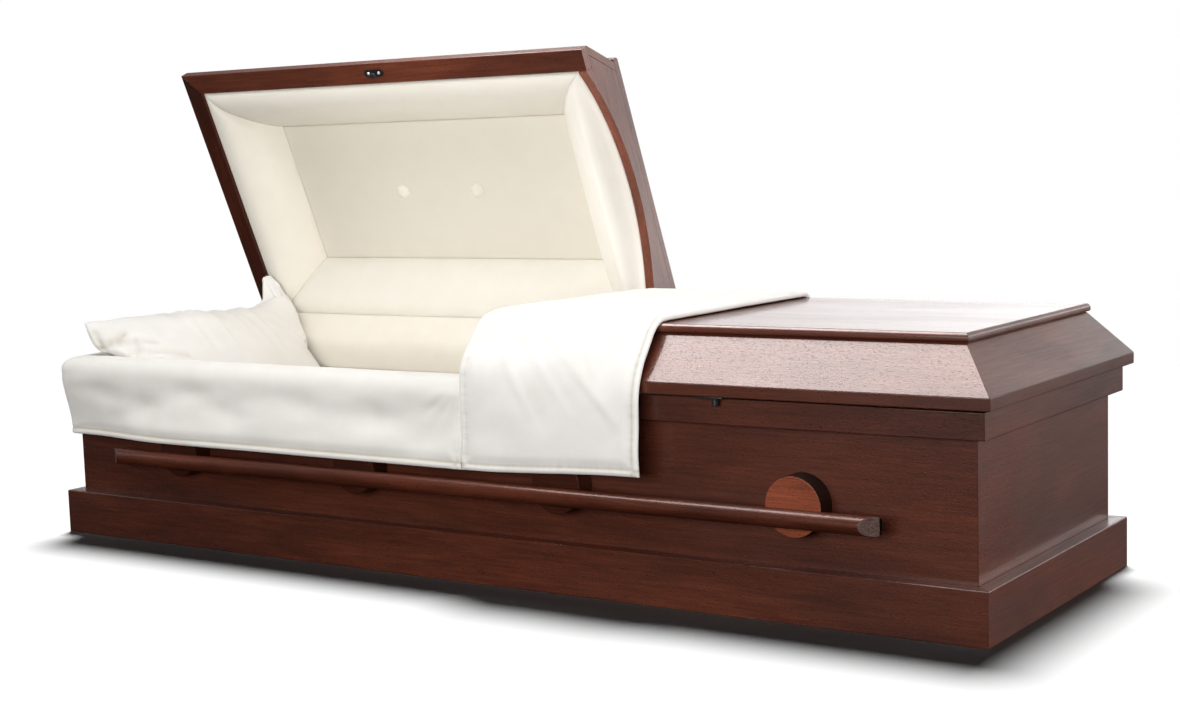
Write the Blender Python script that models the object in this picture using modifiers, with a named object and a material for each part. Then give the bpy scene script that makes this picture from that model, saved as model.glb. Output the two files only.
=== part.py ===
import math

import bmesh
import bpy
from mathutils import Matrix, Vector

# Half-couch casket. X runs from the head (-X) to the foot (+X), the front is -Y,
# the lids hinge at the rear, and the plinth stands on z = 0. Metres.
PLINTH_LENGTH = 2.080
PLINTH_WIDTH = 0.650
PLINTH_HEIGHT = 0.090
PLINTH_THICKNESS = 0.026
WALL_THICKNESS = 0.020
BAND_THICKNESS = 0.020
BAND_BOTTOM = 0.320
RIM_TOP = 0.364
FLOOR_THICKNESS = 0.018

# The lids sit on a shadow gap and overhang the band.
SHADOW_GAP = 0.004
LIP_HEIGHT = 0.020
LIP_OVERHANG = 0.015
LIP_WIDTH = 0.045
SLOPE_RUN = 0.065
SLOPE_RISE = 0.078
SLOPE_THICKNESS = 0.015
TOP_INSET = 0.0615
TOP_THICKNESS = 0.014
SPLIT_X = 0.0485
SPLIT_GAP = 0.003
END_BOARD = 0.020
ARCH_HALF_SPAN = 0.285
ARCH_RISE = 0.070

HINGE_Y = 0.326
HINGE_Z = 0.360
OPEN_ANGLE = math.radians(67.2)
KNUCKLE_RADIUS = 0.0050
KNUCKLE_LENGTH = 0.078
LEAF_THICKNESS = 0.0015
BOX_LEAF_HEIGHT = 0.029
HEAD_HINGE_RUN = (-0.960, 0.024)
FOOT_HINGE_RUN = (0.080, 0.960)
COVER_RADIUS = 0.0405
COVER_ARC = (171, 105)
COVER_THICKNESS = 0.0025
COVER_RUN = (0.020, -0.962)

BLOCK_RADIUS = 0.051
BLOCK_DEPTH = 0.040
BLOCK_Z = 0.197
BLOCK_SPACING = 0.466
BLOCK_OFFSET = 0.015
BAR_RADIUS = 0.016
BAR_Z = 0.179
BAR_STANDOFF = 0.047
BAR_HALF_LENGTH = 0.868
BAR_BEVEL_RUN = 0.0285
BAR_BEVEL_DEPTH = 0.0205

PLATE_THICKNESS = 0.0017
STRIKE_CENTRE = (-0.485, -0.3125)
STRIKE_SIZE = (0.051, 0.019)
LATCH_RUN = (0.529, 0.584)
KNOB_X = 0.568
KNOB_RADIUS = 0.0065
KNOB_HEIGHT = 0.012

LINING_THICKNESS = 0.013
MATTRESS_TOP = 0.225
ROLL_WIDTH = 0.121
ROLL_LOW = 0.3665
PANEL_FACE = 0.456
BUTTON_RADIUS = 0.015
BUTTON_SPACING = 0.206

CLOTH = 0.011
APRON_HEM = 0.212
THROW_HEM = 0.216
THROW_END = 0.434

FIT = 0.0003
ARC_STEPS = 3

# Distances inward from the plinth's outer face, which the boards share.
BAND_IN = PLINTH_THICKNESS - BAND_THICKNESS
WALL_IN = PLINTH_THICKNESS
LINING_IN = WALL_IN + WALL_THICKNESS
LIP_IN = BAND_IN - LIP_OVERHANG
LIP_BOTTOM = RIM_TOP + SHADOW_GAP
LIP_TOP = LIP_BOTTOM + LIP_HEIGHT
TOP_BOTTOM = LIP_TOP + SLOPE_RISE
TOP_TOP = TOP_BOTTOM + TOP_THICKNESS
TOP_IN = LIP_IN + TOP_INSET
HALF_LENGTH = PLINTH_LENGTH / 2
HALF_WIDTH = PLINTH_WIDTH / 2
FOOT_LID_START = SPLIT_X + SPLIT_GAP
SLOPE_LENGTH = math.hypot(SLOPE_RUN, SLOPE_RISE)
SLOPE_FOOTPRINT = SLOPE_THICKNESS * SLOPE_LENGTH / SLOPE_RISE

# Turns an outline drawn in (x, y) and made thick along z to run along X.
ALONG_X = Matrix(((0, 0, 1, 0), (1, 0, 0, 0), (0, 1, 0, 0), (0, 0, 0, 1)))

COLORS = {
    "mahogany": ((0.115, 0.030, 0.016), 0.30, 0.0),
    "ivory_cloth": ((0.80, 0.77, 0.71), 0.85, 0.0),
    "cream_lining": ((0.78, 0.73, 0.62), 0.85, 0.0),
    "black_metal": ((0.015, 0.015, 0.016), 0.45, 0.6),
    "hinge_steel": ((0.36, 0.33, 0.28), 0.35, 0.9),
}


def clear_scene():
    for old in list(bpy.data.objects):
        bpy.data.objects.remove(old, do_unlink=True)


def make_collection(name):
    collection = bpy.data.collections.new(name)
    bpy.context.scene.collection.children.link(collection)
    return collection


def make_material(name):
    color, roughness, metallic = COLORS[name]
    material = bpy.data.materials.new(name)
    material.use_nodes = True
    shader = material.node_tree.nodes["Principled BSDF"]
    shader.inputs["Base Color"].default_value = (*color, 1.0)
    shader.inputs["Roughness"].default_value = roughness
    shader.inputs["Metallic"].default_value = metallic
    return material


clear_scene()
parts = make_collection("casket")
cutters = make_collection("cutters")
materials = {name: make_material(name) for name in COLORS}


def add_hinge(name, angle):
    empty = bpy.data.objects.new(name, None)
    empty.location = (0.0, HINGE_Y, HINGE_Z)
    empty.rotation_euler = (-angle, 0.0, 0.0)
    parts.objects.link(empty)
    return empty


head_hinge = add_hinge("head_lid_axis", OPEN_ANGLE)
foot_hinge = add_hinge("foot_lid_axis", 0.0)


def add_part(name, mesh, material, location=(0, 0, 0), turn=0.0, hinge=None):
    """Place a mesh as one part; on a hinge it is placed as with the lid shut."""
    part = bpy.data.objects.new(name, mesh)
    offset = Vector((0, HINGE_Y, HINGE_Z)) if hinge else Vector()
    part.location = Vector(location) - offset
    part.rotation_euler = (0.0, 0.0, turn)
    part.parent = hinge
    mesh.materials.clear()
    mesh.materials.append(materials[material])
    parts.objects.link(part)
    return part


def add_cutter(name, mesh):
    cutter = bpy.data.objects.new(name, mesh)
    cutter.hide_render = True
    cutter.display_type = "WIRE"
    cutters.objects.link(cutter)
    return cutter


def add_boolean(part, operation, cutter):
    modifier = part.modifiers.new(operation.lower(), "BOOLEAN")
    modifier.operation = operation
    modifier.object = cutter


def add_bevel(part, width, segments):
    modifier = part.modifiers.new("rounded edges", "BEVEL")
    modifier.width = width
    modifier.segments = segments
    modifier.limit_method = "ANGLE"
    modifier.angle_limit = math.radians(40)


def fillet(corner, before, after, radius, steps=ARC_STEPS):
    """Points of the arc that rounds one corner of an outline."""
    corner, before, after = Vector(corner), Vector(before), Vector(after)
    to_before = (before - corner).normalized()
    to_after = (after - corner).normalized()
    half = to_before.angle(to_after) / 2
    reach = radius / math.tan(half)
    centre = corner + (to_before + to_after).normalized() * (radius / math.sin(half))
    start = corner + to_before * reach - centre
    end = corner + to_after * reach - centre
    span = start.angle_signed(end)
    return [centre + Matrix.Rotation(-span * i / steps, 2) @ start for i in range(steps + 1)]


def round_outline(points, radii, closed=True):
    """An outline with the corners named in radii (index: radius) made round."""
    rounded = []
    for index, point in enumerate(points):
        if index not in radii:
            rounded.append(Vector(point))
            continue
        before = points[index - 1]
        after = points[(index + 1) % len(points)] if closed else points[index + 1]
        rounded.extend(fillet(point, before, after, radii[index]))
    return rounded


def outline_mesh(name, outlines, depth):
    """A flat outline, with a hole for each further outline, made depth thick."""
    curve = bpy.data.curves.new(name, "CURVE")
    curve.dimensions = "2D"
    curve.fill_mode = "BOTH"
    curve.extrude = depth / 2
    for outline in outlines:
        spline = curve.splines.new("POLY")
        spline.points.add(len(outline) - 1)
        for point, corner in zip(spline.points, outline):
            point.co = (corner[0], corner[1], 0.0, 1.0)
        spline.use_cyclic_u = True
    guide = bpy.data.objects.new(name, curve)
    bpy.context.scene.collection.objects.link(guide)
    evaluated = guide.evaluated_get(bpy.context.evaluated_depsgraph_get())
    mesh = bpy.data.meshes.new_from_object(evaluated)
    bpy.data.objects.remove(guide, do_unlink=True)
    bpy.data.curves.remove(curve)
    shape = bmesh.new()
    shape.from_mesh(mesh)
    bmesh.ops.remove_doubles(shape, verts=shape.verts, dist=0.00001)
    bmesh.ops.recalc_face_normals(shape, faces=shape.faces)
    shape.to_mesh(mesh)
    shape.free()
    return mesh


def section_mesh(name, outline, start, stop, mitre_start, mitre_stop):
    """A board along X whose section is given as (inward, up) points."""
    mesh = outline_mesh(name, [outline], 1.0)
    mesh.transform(ALONG_X)
    for vertex in mesh.vertices:
        inward = vertex.co.y + FIT / 2
        if vertex.co.x < 0:
            vertex.co.x = start + (inward if mitre_start else 0.0)
        else:
            vertex.co.x = stop - (inward if mitre_stop else 0.0)
    return mesh


# The side a board is on: its turn about Z and where its outer line lies.
SIDES = {
    "front": (0.0, (0.0, -HALF_WIDTH, 0.0), HALF_LENGTH),
    "foot": (math.pi / 2, (HALF_LENGTH, 0.0, 0.0), HALF_WIDTH),
    "rear": (math.pi, (0.0, HALF_WIDTH, 0.0), HALF_LENGTH),
    "head": (-math.pi / 2, (-HALF_LENGTH, 0.0, 0.0), HALF_WIDTH),
}


def add_board(name, side, outline, material, start=None, stop=None, hinge=None):
    """A board on one side; an end that isn't given is mitred at the corner."""
    turn, location, reach = SIDES[side]
    if side == "rear":
        start, stop = (None if stop is None else -stop), (None if start is None else -start)
    begin = -reach if start is None else start
    end = reach if stop is None else stop
    mesh = section_mesh(name, outline, begin, end, start is None, stop is None)
    return add_part(name, mesh, material, location, turn, hinge)


def rectangle(inner, outer, bottom, top):
    return [(outer, bottom), (outer, top), (inner, top), (inner, bottom)]


def box_mesh(low, high):
    shape = bmesh.new()
    bmesh.ops.create_cube(shape, size=1.0)
    size = Vector(high) - Vector(low)
    bmesh.ops.scale(shape, vec=size, verts=shape.verts)
    bmesh.ops.translate(shape, vec=(Vector(low) + Vector(high)) / 2, verts=shape.verts)
    mesh = bpy.data.meshes.new("block")
    shape.to_mesh(mesh)
    shape.free()
    return mesh


def build_box():
    plinth = round_outline(
        rectangle(PLINTH_THICKNESS - FIT, 0.0, 0.0, PLINTH_HEIGHT), {0: 0.0010, 1: 0.0020})
    wall = rectangle(LINING_IN, WALL_IN, 0.0, RIM_TOP)
    band = round_outline(
        rectangle(WALL_IN - FIT, BAND_IN, BAND_BOTTOM, RIM_TOP), {0: 0.0015, 1: 0.0015})
    for side in SIDES:
        add_board(f"plinth_{side}", side, plinth, "mahogany")
        add_board(f"wall_{side}", side, wall, "mahogany")
        add_board(f"rim_{side}", side, band, "mahogany")
    inside_x = HALF_LENGTH - LINING_IN - FIT
    inside_y = HALF_WIDTH - LINING_IN - FIT
    floor = box_mesh((-inside_x, -inside_y, 0.0), (inside_x, inside_y, FLOOR_THICKNESS))
    add_part("floor_board", floor, "mahogany")


def build_lining():
    outer_x = HALF_LENGTH - LINING_IN - FIT
    outer_y = HALF_WIDTH - LINING_IN - FIT
    bottom = FLOOR_THICKNESS + FIT
    top = RIM_TOP - 0.002
    outer = [(outer_x, outer_y), (-outer_x, outer_y), (-outer_x, -outer_y), (outer_x, -outer_y)]
    inner = [
        (x - math.copysign(LINING_THICKNESS, x), y - math.copysign(LINING_THICKNESS, y))
        for x, y in outer]
    ring = outline_mesh("wall_lining", [outer, inner], top - bottom)
    add_part("wall_lining", ring, "cream_lining", (0, 0, (top + bottom) / 2))
    bed_x = outer_x - LINING_THICKNESS - 0.003
    bed_y = outer_y - LINING_THICKNESS - 0.003
    bed = box_mesh((-bed_x, -bed_y, FLOOR_THICKNESS + FIT), (bed_x, bed_y, MATTRESS_TOP))
    mattress = add_part("mattress", bed, "ivory_cloth")
    add_bevel(mattress, 0.018, 3)


def build_pillow():
    """A pillow that leans on the head wall, its top edge above the rim."""
    half_width, middle = 0.246, -0.004
    head_x, foot_x, top_x = -0.966, -0.745, -0.925
    low, high = MATTRESS_TOP + FIT, 0.445
    shape = bmesh.new()
    bmesh.ops.create_cube(shape, size=2.0)
    for vertex in shape.verts:
        upper = vertex.co.z > 0
        head_side = vertex.co.x < 0
        x = head_x if head_side else (top_x if upper else foot_x)
        z = high if upper else low
        vertex.co = (x, middle + half_width * vertex.co.y, z)
    bmesh.ops.subdivide_edges(shape, edges=shape.edges, cuts=1, use_grid_fill=True)
    mesh = bpy.data.meshes.new("pillow")
    shape.to_mesh(mesh)
    shape.free()
    pillow = add_part("pillow", mesh, "ivory_cloth")
    soft = pillow.modifiers.new("soft form", "SUBSURF")
    soft.levels = soft.render_levels = 2


def draped_mesh(name, rings):
    """An open cloth surface from one row of points to the next."""
    shape = bmesh.new()
    rows = [[shape.verts.new(point) for point in ring] for ring in rings]
    for row, following in zip(rows, rows[1:]):
        for i in range(len(row) - 1):
            shape.faces.new((row[i], row[i + 1], following[i + 1], following[i]))
    mesh = bpy.data.meshes.new(name)
    shape.to_mesh(mesh)
    shape.free()
    return mesh


def add_cloth(name, mesh, material, hinge=None, thickness=CLOTH):
    cloth = add_part(name, mesh, material, hinge=hinge)
    body = cloth.modifiers.new("cloth thickness", "SOLIDIFY")
    body.thickness = thickness
    body.offset = 1.0
    body.use_even_offset = True
    return cloth


def build_apron():
    """The bedding turned out over the front and head rim, down to its hem."""
    inner = LINING_IN + LINING_THICKNESS + 0.0010
    outer = BAND_IN - 0.0008
    top = RIM_TOP + 0.0010
    drop = 0.300

    def section(hem):
        points = [(inner, drop), (inner, top), (outer, top), (outer, BAND_BOTTOM),
                  (hem, 0.255), (hem, APRON_HEM)]
        return round_outline(points, {1: 0.004, 2: 0.003}, closed=False)

    # The hem hangs clear of the handle blocks and turns in towards the head.
    clear_of_blocks = PLINTH_THICKNESS - BLOCK_DEPTH - 0.0015
    stations = [
        (SPLIT_X, clear_of_blocks), (-0.78, clear_of_blocks), (-0.90, 0.0)]
    rings = [[(x, -HALF_WIDTH + u, z) for u, z in section(hem)] for x, hem in stations]
    turned_in = section(0.004)
    rings.append([(-HALF_LENGTH + u, -HALF_WIDTH + u, z) for u, z in turned_in])
    rings.append([(-HALF_LENGTH + u, HALF_WIDTH - 0.075, z) for u, z in turned_in])
    rings.reverse()
    add_cloth("apron", draped_mesh("apron", rings), "ivory_cloth")


def build_throw():
    """The quilted overlay that lies over the foot lid and hangs at the front."""
    gap = 0.0010
    lip_y = -HALF_WIDTH + LIP_IN - gap
    top_y = HALF_WIDTH - TOP_IN + gap
    hang_y = -HALF_WIDTH + PLINTH_THICKNESS - BLOCK_DEPTH - 0.0015
    rear_drop = 0.045
    path = [
        (top_y + rear_drop * SLOPE_RUN / SLOPE_RISE, TOP_BOTTOM - rear_drop + 0.006),
        (top_y, TOP_TOP + gap), (-top_y, TOP_TOP + gap),
        (lip_y, LIP_TOP + 0.002), (hang_y, 0.300), (hang_y, THROW_HEM)]
    section = round_outline(path, {1: 0.008, 2: 0.008, 3: 0.008}, closed=False)
    rings = [[(x, y, z) for y, z in section] for x in (FOOT_LID_START + 0.0005, THROW_END)]
    add_cloth("throw", draped_mesh("throw", rings), "ivory_cloth", foot_hinge)


def turned_mesh(name, profile, steps):
    """A closed solid turned about Z; the profile runs down its outer side."""
    shape = bmesh.new()
    points = [shape.verts.new((radius, 0.0, height)) for radius, height in profile]
    for first, second in zip(points, points[1:]):
        shape.edges.new((first, second))
    mesh = bpy.data.meshes.new(name)
    shape.to_mesh(mesh)
    shape.free()
    guide = bpy.data.objects.new(name, mesh)
    bpy.context.scene.collection.objects.link(guide)
    screw = guide.modifiers.new("turning", "SCREW")
    screw.steps = screw.render_steps = steps
    screw.use_merge_vertices = True
    screw.merge_threshold = 0.00001
    evaluated = guide.evaluated_get(bpy.context.evaluated_depsgraph_get())
    turned = bpy.data.meshes.new_from_object(evaluated)
    bpy.data.objects.remove(guide, do_unlink=True)
    bpy.data.meshes.remove(mesh)
    return turned


def bar_mesh():
    """A round bar along X with both ends bevelled on the front half."""
    shape = bmesh.new()
    bmesh.ops.create_cone(
        shape, cap_ends=True, segments=28, radius1=BAR_RADIUS, radius2=BAR_RADIUS,
        depth=2 * BAR_HALF_LENGTH, matrix=Matrix.Rotation(math.pi / 2, 4, "Y"))
    for end in (-1, 1):
        point = Vector((end * BAR_HALF_LENGTH, BAR_BEVEL_DEPTH - BAR_RADIUS, 0.0))
        normal = Vector((end * BAR_BEVEL_DEPTH, -BAR_BEVEL_RUN, 0.0))
        geometry = shape.verts[:] + shape.edges[:] + shape.faces[:]
        cut = bmesh.ops.bisect_plane(
            shape, geom=geometry, plane_co=point, plane_no=normal, clear_outer=True)
        rim = [item for item in cut["geom_cut"] if isinstance(item, bmesh.types.BMEdge)]
        bmesh.ops.contextual_create(shape, geom=rim)
    bmesh.ops.recalc_face_normals(shape, faces=shape.faces)
    mesh = bpy.data.meshes.new("handle_bar")
    shape.to_mesh(mesh)
    shape.free()
    return mesh


def build_handles():
    edge = 0.0025
    profile = [(0.0, BLOCK_DEPTH)]
    profile += [(BLOCK_RADIUS - edge + edge * math.sin(a), BLOCK_DEPTH - edge + edge * math.cos(a))
                for a in (0.0, math.pi / 4, math.pi / 2)]
    profile += [(BLOCK_RADIUS, FIT), (0.0, FIT)]
    block = turned_mesh("handle_block", profile, 32)
    block.transform(Matrix.Rotation(math.pi / 2, 4, "X"))
    bar = bar_mesh()
    wall_face = HALF_WIDTH - WALL_IN
    groove = bmesh.new()
    bmesh.ops.create_cone(
        groove, cap_ends=True, segments=28, radius1=BAR_RADIUS + FIT,
        radius2=BAR_RADIUS + FIT, depth=2.2 * BAR_HALF_LENGTH,
        matrix=Matrix.Rotation(math.pi / 2, 4, "Y"))
    groove_mesh = bpy.data.meshes.new("bar_groove")
    groove.to_mesh(groove_mesh)
    groove.free()
    for side, facing in (("front", -1), ("rear", 1)):
        turn = 0.0 if facing < 0 else math.pi
        y = facing * (wall_face + BAR_STANDOFF)
        add_part(f"handle_bar_{side}", bar, "mahogany", (0.0, y, BAR_Z), turn)
        cutter = add_cutter(f"bar_groove_{side}", groove_mesh)
        cutter.location = (0.0, y, BAR_Z)
        for number in range(4):
            x = BLOCK_OFFSET + (number - 1.5) * BLOCK_SPACING
            place = (x, facing * wall_face, BLOCK_Z)
            name = f"handle_block_{side}_{number + 1}"
            part = add_part(name, block, "mahogany", place, turn)
            add_boolean(part, "DIFFERENCE", cutter)


def end_board_outline():
    """Section of a lid, inside its rails and slopes, with the arch cut out."""
    rail_y = HALF_WIDTH - LIP_IN - LIP_WIDTH - FIT
    foot_y = HALF_WIDTH - LIP_IN - SLOPE_FOOTPRINT - FIT
    top_y = foot_y - SLOPE_RUN
    low, shelf, top = LIP_BOTTOM, LIP_TOP + FIT, TOP_BOTTOM - FIT
    shelf_y = foot_y - 2 * FIT
    right = [(ARCH_HALF_SPAN, low), (rail_y, low), (rail_y, shelf), (shelf_y, shelf), (top_y, top)]
    left = [(-y, z) for y, z in reversed(right)]
    radius = (ARCH_HALF_SPAN ** 2 + ARCH_RISE ** 2) / (2 * ARCH_RISE)
    half_angle = math.asin(ARCH_HALF_SPAN / radius)
    steps = 18
    arch = []
    for i in range(1, steps):
        angle = half_angle * (2 * i / steps - 1)
        arch.append((radius * math.sin(angle), low + ARCH_RISE - radius * (1 - math.cos(angle))))
    return right + left + arch


def build_lid(lid, end_side, start, stop, hinge):
    """Rails, slopes, top and end board of one lid, between start and stop."""
    rail = round_outline(
        rectangle(LIP_IN + LIP_WIDTH, LIP_IN, LIP_BOTTOM, LIP_TOP), {0: 0.0015, 3: 0.0015})
    slope_low, slope_high = LIP_TOP + FIT, TOP_BOTTOM - FIT
    slope = [(LIP_IN, slope_low), (LIP_IN + SLOPE_RUN, slope_high),
             (LIP_IN + SLOPE_RUN + SLOPE_FOOTPRINT, slope_high),
             (LIP_IN + SLOPE_FOOTPRINT, slope_low)]
    for side in ("front", "rear", end_side):
        run = (None, None) if side == end_side else (start, stop)
        add_board(f"{lid}_rail_{side}", side, rail, "mahogany", *run, hinge)
        add_board(f"{lid}_slope_{side}", side, slope, "mahogany", *run, hinge)
    split = SPLIT_X if start is None else FOOT_LID_START
    into_lid = -1 if start is None else 1
    board = outline_mesh(f"{lid}_end_board", [end_board_outline()], END_BOARD)
    board.transform(ALONG_X)
    middle = split + into_lid * END_BOARD / 2
    add_part(f"{lid}_end_board", board, "mahogany", (middle, 0, 0), hinge=hinge)

    far = into_lid * (HALF_LENGTH - TOP_IN)
    half = HALF_WIDTH - TOP_IN
    top_mesh = box_mesh(
        (min(split, far), -half, TOP_BOTTOM), (max(split, far), half, TOP_TOP))
    shape = bmesh.new()
    shape.from_mesh(top_mesh)
    weights = shape.edges.layers.float.new("bevel_weight_edge")
    for edge in shape.edges:
        ends = [vertex.co for vertex in edge.verts]
        at_split = all(abs(end.x - split) < FIT for end in ends)
        level = abs(ends[0].z - ends[1].z) < FIT
        if level and not at_split:
            edge[weights] = 1.0 if ends[0].z > TOP_TOP - FIT else 0.35
    shape.to_mesh(top_mesh)
    shape.free()
    top = add_part(f"{lid}_top", top_mesh, "mahogany", hinge=hinge)
    rounding = top.modifiers.new("rounded edge", "BEVEL")
    rounding.width = 0.0075
    rounding.segments = 5
    rounding.limit_method = "WEIGHT"


def roll_section(outer):
    """A puffed roll from its outer edge to the centre panel, its back to the slope."""
    face = [(0.0, 0.3720), (0.012, ROLL_LOW + 0.0012), (0.026, ROLL_LOW), (0.044, 0.3705),
            (0.064, 0.3830), (0.084, 0.4010), (0.102, 0.4240), (0.114, 0.4430),
            (ROLL_WIDTH, PANEL_FACE)]
    back = [(ROLL_WIDTH, TOP_BOTTOM - 0.001), (0.0435, TOP_BOTTOM - 0.001),
            (0.0, LIP_TOP + 0.026)]
    return [(outer + u, z) for u, z in face + back]


def build_head_lining():
    outer = LIP_IN + LIP_WIDTH + 0.0005
    split_face = SPLIT_X - END_BOARD - 0.0008
    sides = roll_section(outer)
    corner = -HALF_WIDTH + outer
    for side in ("front", "rear"):
        roll = section_mesh(
            f"lining_roll_{side}", sides, -HALF_LENGTH, split_face + outer, True, True)
        turn, location, _ = SIDES[side]
        if side == "rear":
            roll.transform(Matrix.Scale(-1, 4, (1, 0, 0)))
            roll.flip_normals()
        add_part(f"lining_roll_{side}", roll, "cream_lining", location, turn, head_hinge)
    add_board("lining_roll_head", "head", sides, "cream_lining", hinge=head_hinge)
    across = roll_section(0.0)
    split_roll = section_mesh("lining_roll_split", across, corner, -corner, True, True)
    add_part("lining_roll_split", split_roll, "cream_lining",
             (split_face, 0.0, 0.0), math.pi / 2, head_hinge)

    low_x = -HALF_LENGTH + outer + ROLL_WIDTH + FIT
    high_x = split_face - ROLL_WIDTH - FIT
    half_y = HALF_WIDTH - outer - ROLL_WIDTH - FIT
    panel = box_mesh((low_x, -half_y, PANEL_FACE), (high_x, half_y, TOP_BOTTOM - FIT))
    add_part("lining_panel", panel, "cream_lining", hinge=head_hinge)
    profile = [(0.0, 0.0065), (BUTTON_RADIUS * 0.5, 0.0058), (BUTTON_RADIUS * 0.85, 0.0038),
               (BUTTON_RADIUS, 0.0015), (BUTTON_RADIUS * 0.9, FIT), (0.0, FIT)]
    button = turned_mesh("lining_button", profile, 16)
    button.transform(Matrix.Rotation(math.pi, 4, "X"))
    middle = (low_x + high_x) / 2
    for number, side in ((1, -1), (2, 1)):
        place = (middle + side * BUTTON_SPACING / 2, 0.0, PANEL_FACE)
        add_part(f"lining_button_{number}", button, "cream_lining", place, hinge=head_hinge)


def build_foot_lining():
    margin = 0.006
    low_x = FOOT_LID_START + END_BOARD + margin
    slope_inner = LIP_IN + SLOPE_FOOTPRINT + SLOPE_RUN + margin
    panel = box_mesh(
        (low_x, -HALF_WIDTH + slope_inner, PANEL_FACE),
        (HALF_LENGTH - slope_inner, HALF_WIDTH - slope_inner, TOP_BOTTOM - FIT))
    part = add_part("foot_lid_lining", panel, "cream_lining", hinge=foot_hinge)
    add_bevel(part, 0.004, 2)


def build_hinge_cover():
    """The cloth strip that closes the gap between the rear rim and the open lid."""
    first, last = (math.radians(angle) for angle in COVER_ARC)
    steps = 6
    angles = [first + (last - first) * i / steps for i in range(steps + 1)]
    arc = [(HINGE_Y + COVER_RADIUS * math.cos(a), HINGE_Z + COVER_RADIUS * math.sin(a))
           for a in angles]
    rings = [[(x, y, z) for y, z in arc] for x in COVER_RUN]
    strip = draped_mesh("hinge_cover", rings)
    add_cloth("hinge_cover", strip, "cream_lining", thickness=COVER_THICKNESS)


def knuckle_meshes(start, stop, first, strap_low, strap_high):
    """Every other knuckle of a hinge along X, and the strap that holds each one."""
    count = round((stop - start) / KNUCKLE_LENGTH)
    pitch = (stop - start) / count
    knuckles, straps = bmesh.new(), bmesh.new()
    low, high = Vector(strap_low), Vector(strap_high)
    for index in range(first, count, 2):
        middle = start + (index + 0.5) * pitch
        place = Matrix.Translation((middle, HINGE_Y, HINGE_Z))
        bmesh.ops.create_cone(
            knuckles, cap_ends=True, segments=10, radius1=KNUCKLE_RADIUS,
            radius2=KNUCKLE_RADIUS, depth=pitch - 2 * FIT,
            matrix=place @ Matrix.Rotation(math.pi / 2, 4, "Y"))
        size = Vector((pitch - 10 * FIT, high.x - low.x, high.y - low.y))
        centre = Vector((middle, (low.x + high.x) / 2, (low.y + high.y) / 2))
        bmesh.ops.create_cube(
            straps, size=1.0, matrix=Matrix.Translation(centre) @ Matrix.Diagonal(size).to_4x4())
    meshes = []
    for shape in (straps, knuckles):
        mesh = bpy.data.meshes.new("knuckles")
        shape.to_mesh(mesh)
        shape.free()
        meshes.append(mesh)
    return meshes


def add_leaf(name, plate, knuckles, hinge=None):
    leaf = add_part(name, plate, "hinge_steel", hinge=hinge)
    for number, mesh in enumerate(knuckles):
        cutter = add_cutter(f"{name}_knuckles_{number + 1}", mesh)
        if hinge:
            cutter.parent = hinge
            cutter.location = (0.0, -HINGE_Y, -HINGE_Z)
        add_boolean(leaf, "UNION", cutter)


def build_hinge(lid, run, hinge):
    """Box leaf on the band's rear face, lid leaf under the lip's overhang."""
    start, stop = run
    band_face = HALF_WIDTH - BAND_IN + FIT
    leaf_face = band_face + LEAF_THICKNESS
    leaf_top = HINGE_Z - 0.0010
    box_leaf = box_mesh(
        (start, band_face, leaf_top - BOX_LEAF_HEIGHT), (stop, leaf_face, leaf_top))
    straps = (band_face + FIT, leaf_top - 0.0030), (HINGE_Y, leaf_top - 0.0010)
    add_leaf(f"{lid}_hinge_box_leaf", box_leaf, knuckle_meshes(start, stop, 0, *straps))
    lid_face = LIP_BOTTOM - FIT
    lid_leaf = box_mesh((start, HINGE_Y - KNUCKLE_RADIUS, lid_face - LEAF_THICKNESS),
                        (stop, HALF_WIDTH - LIP_IN - 0.0010, lid_face))
    straps = (HINGE_Y - 0.0010, HINGE_Z + 0.0030), (HINGE_Y + 0.0010, lid_face - 2 * FIT)
    add_leaf(f"{lid}_hinge_lid_leaf", lid_leaf, knuckle_meshes(start, stop, 1, *straps), hinge)


def build_strike_plate():
    """The flat plate let into the front rail of the head lid."""
    x, y = STRIKE_CENTRE
    half_length, half_width = STRIKE_SIZE[0] / 2, STRIKE_SIZE[1] / 2
    plate = box_mesh((x - half_length, y - half_width, LIP_BOTTOM - PLATE_THICKNESS),
                     (x + half_length, y + half_width, LIP_BOTTOM - FIT))
    add_part("strike_plate", plate, "black_metal", hinge=head_hinge)


def build_latch():
    """The plate and thumb knob under the front overhang of the foot lid."""
    rear = -HALF_WIDTH + BAND_IN - 0.0008
    front = -HALF_WIDTH + LIP_IN + 0.0010
    low = LIP_BOTTOM - 2 * PLATE_THICKNESS
    base = box_mesh((LATCH_RUN[0], front, low), (LATCH_RUN[1], rear, LIP_BOTTOM - FIT))
    latch = add_part("foot_lid_latch", base, "black_metal", hinge=foot_hinge)
    knob = bmesh.new()
    middle = Vector((KNOB_X, (front + rear) / 2, low + FIT - KNOB_HEIGHT / 2))
    bmesh.ops.create_cone(
        knob, cap_ends=True, segments=20, radius1=KNOB_RADIUS - 0.0007, radius2=KNOB_RADIUS,
        depth=KNOB_HEIGHT, matrix=Matrix.Translation(middle))
    mesh = bpy.data.meshes.new("latch_knob")
    knob.to_mesh(mesh)
    knob.free()
    cutter = add_cutter("latch_knob", mesh)
    cutter.parent = foot_hinge
    cutter.location = (0.0, -HINGE_Y, -HINGE_Z)
    add_boolean(latch, "UNION", cutter)


build_box()
build_lining()
build_pillow()
build_apron()
build_handles()
build_lid("head_lid", "head", None, SPLIT_X, head_hinge)
build_lid("foot_lid", "foot", FOOT_LID_START, None, foot_hinge)
build_head_lining()
build_foot_lining()
build_hinge_cover()
build_hinge("head_lid", HEAD_HINGE_RUN, head_hinge)
build_hinge("foot_lid", FOOT_HINGE_RUN, foot_hinge)
build_strike_plate()
build_latch()
build_throw()
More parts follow.
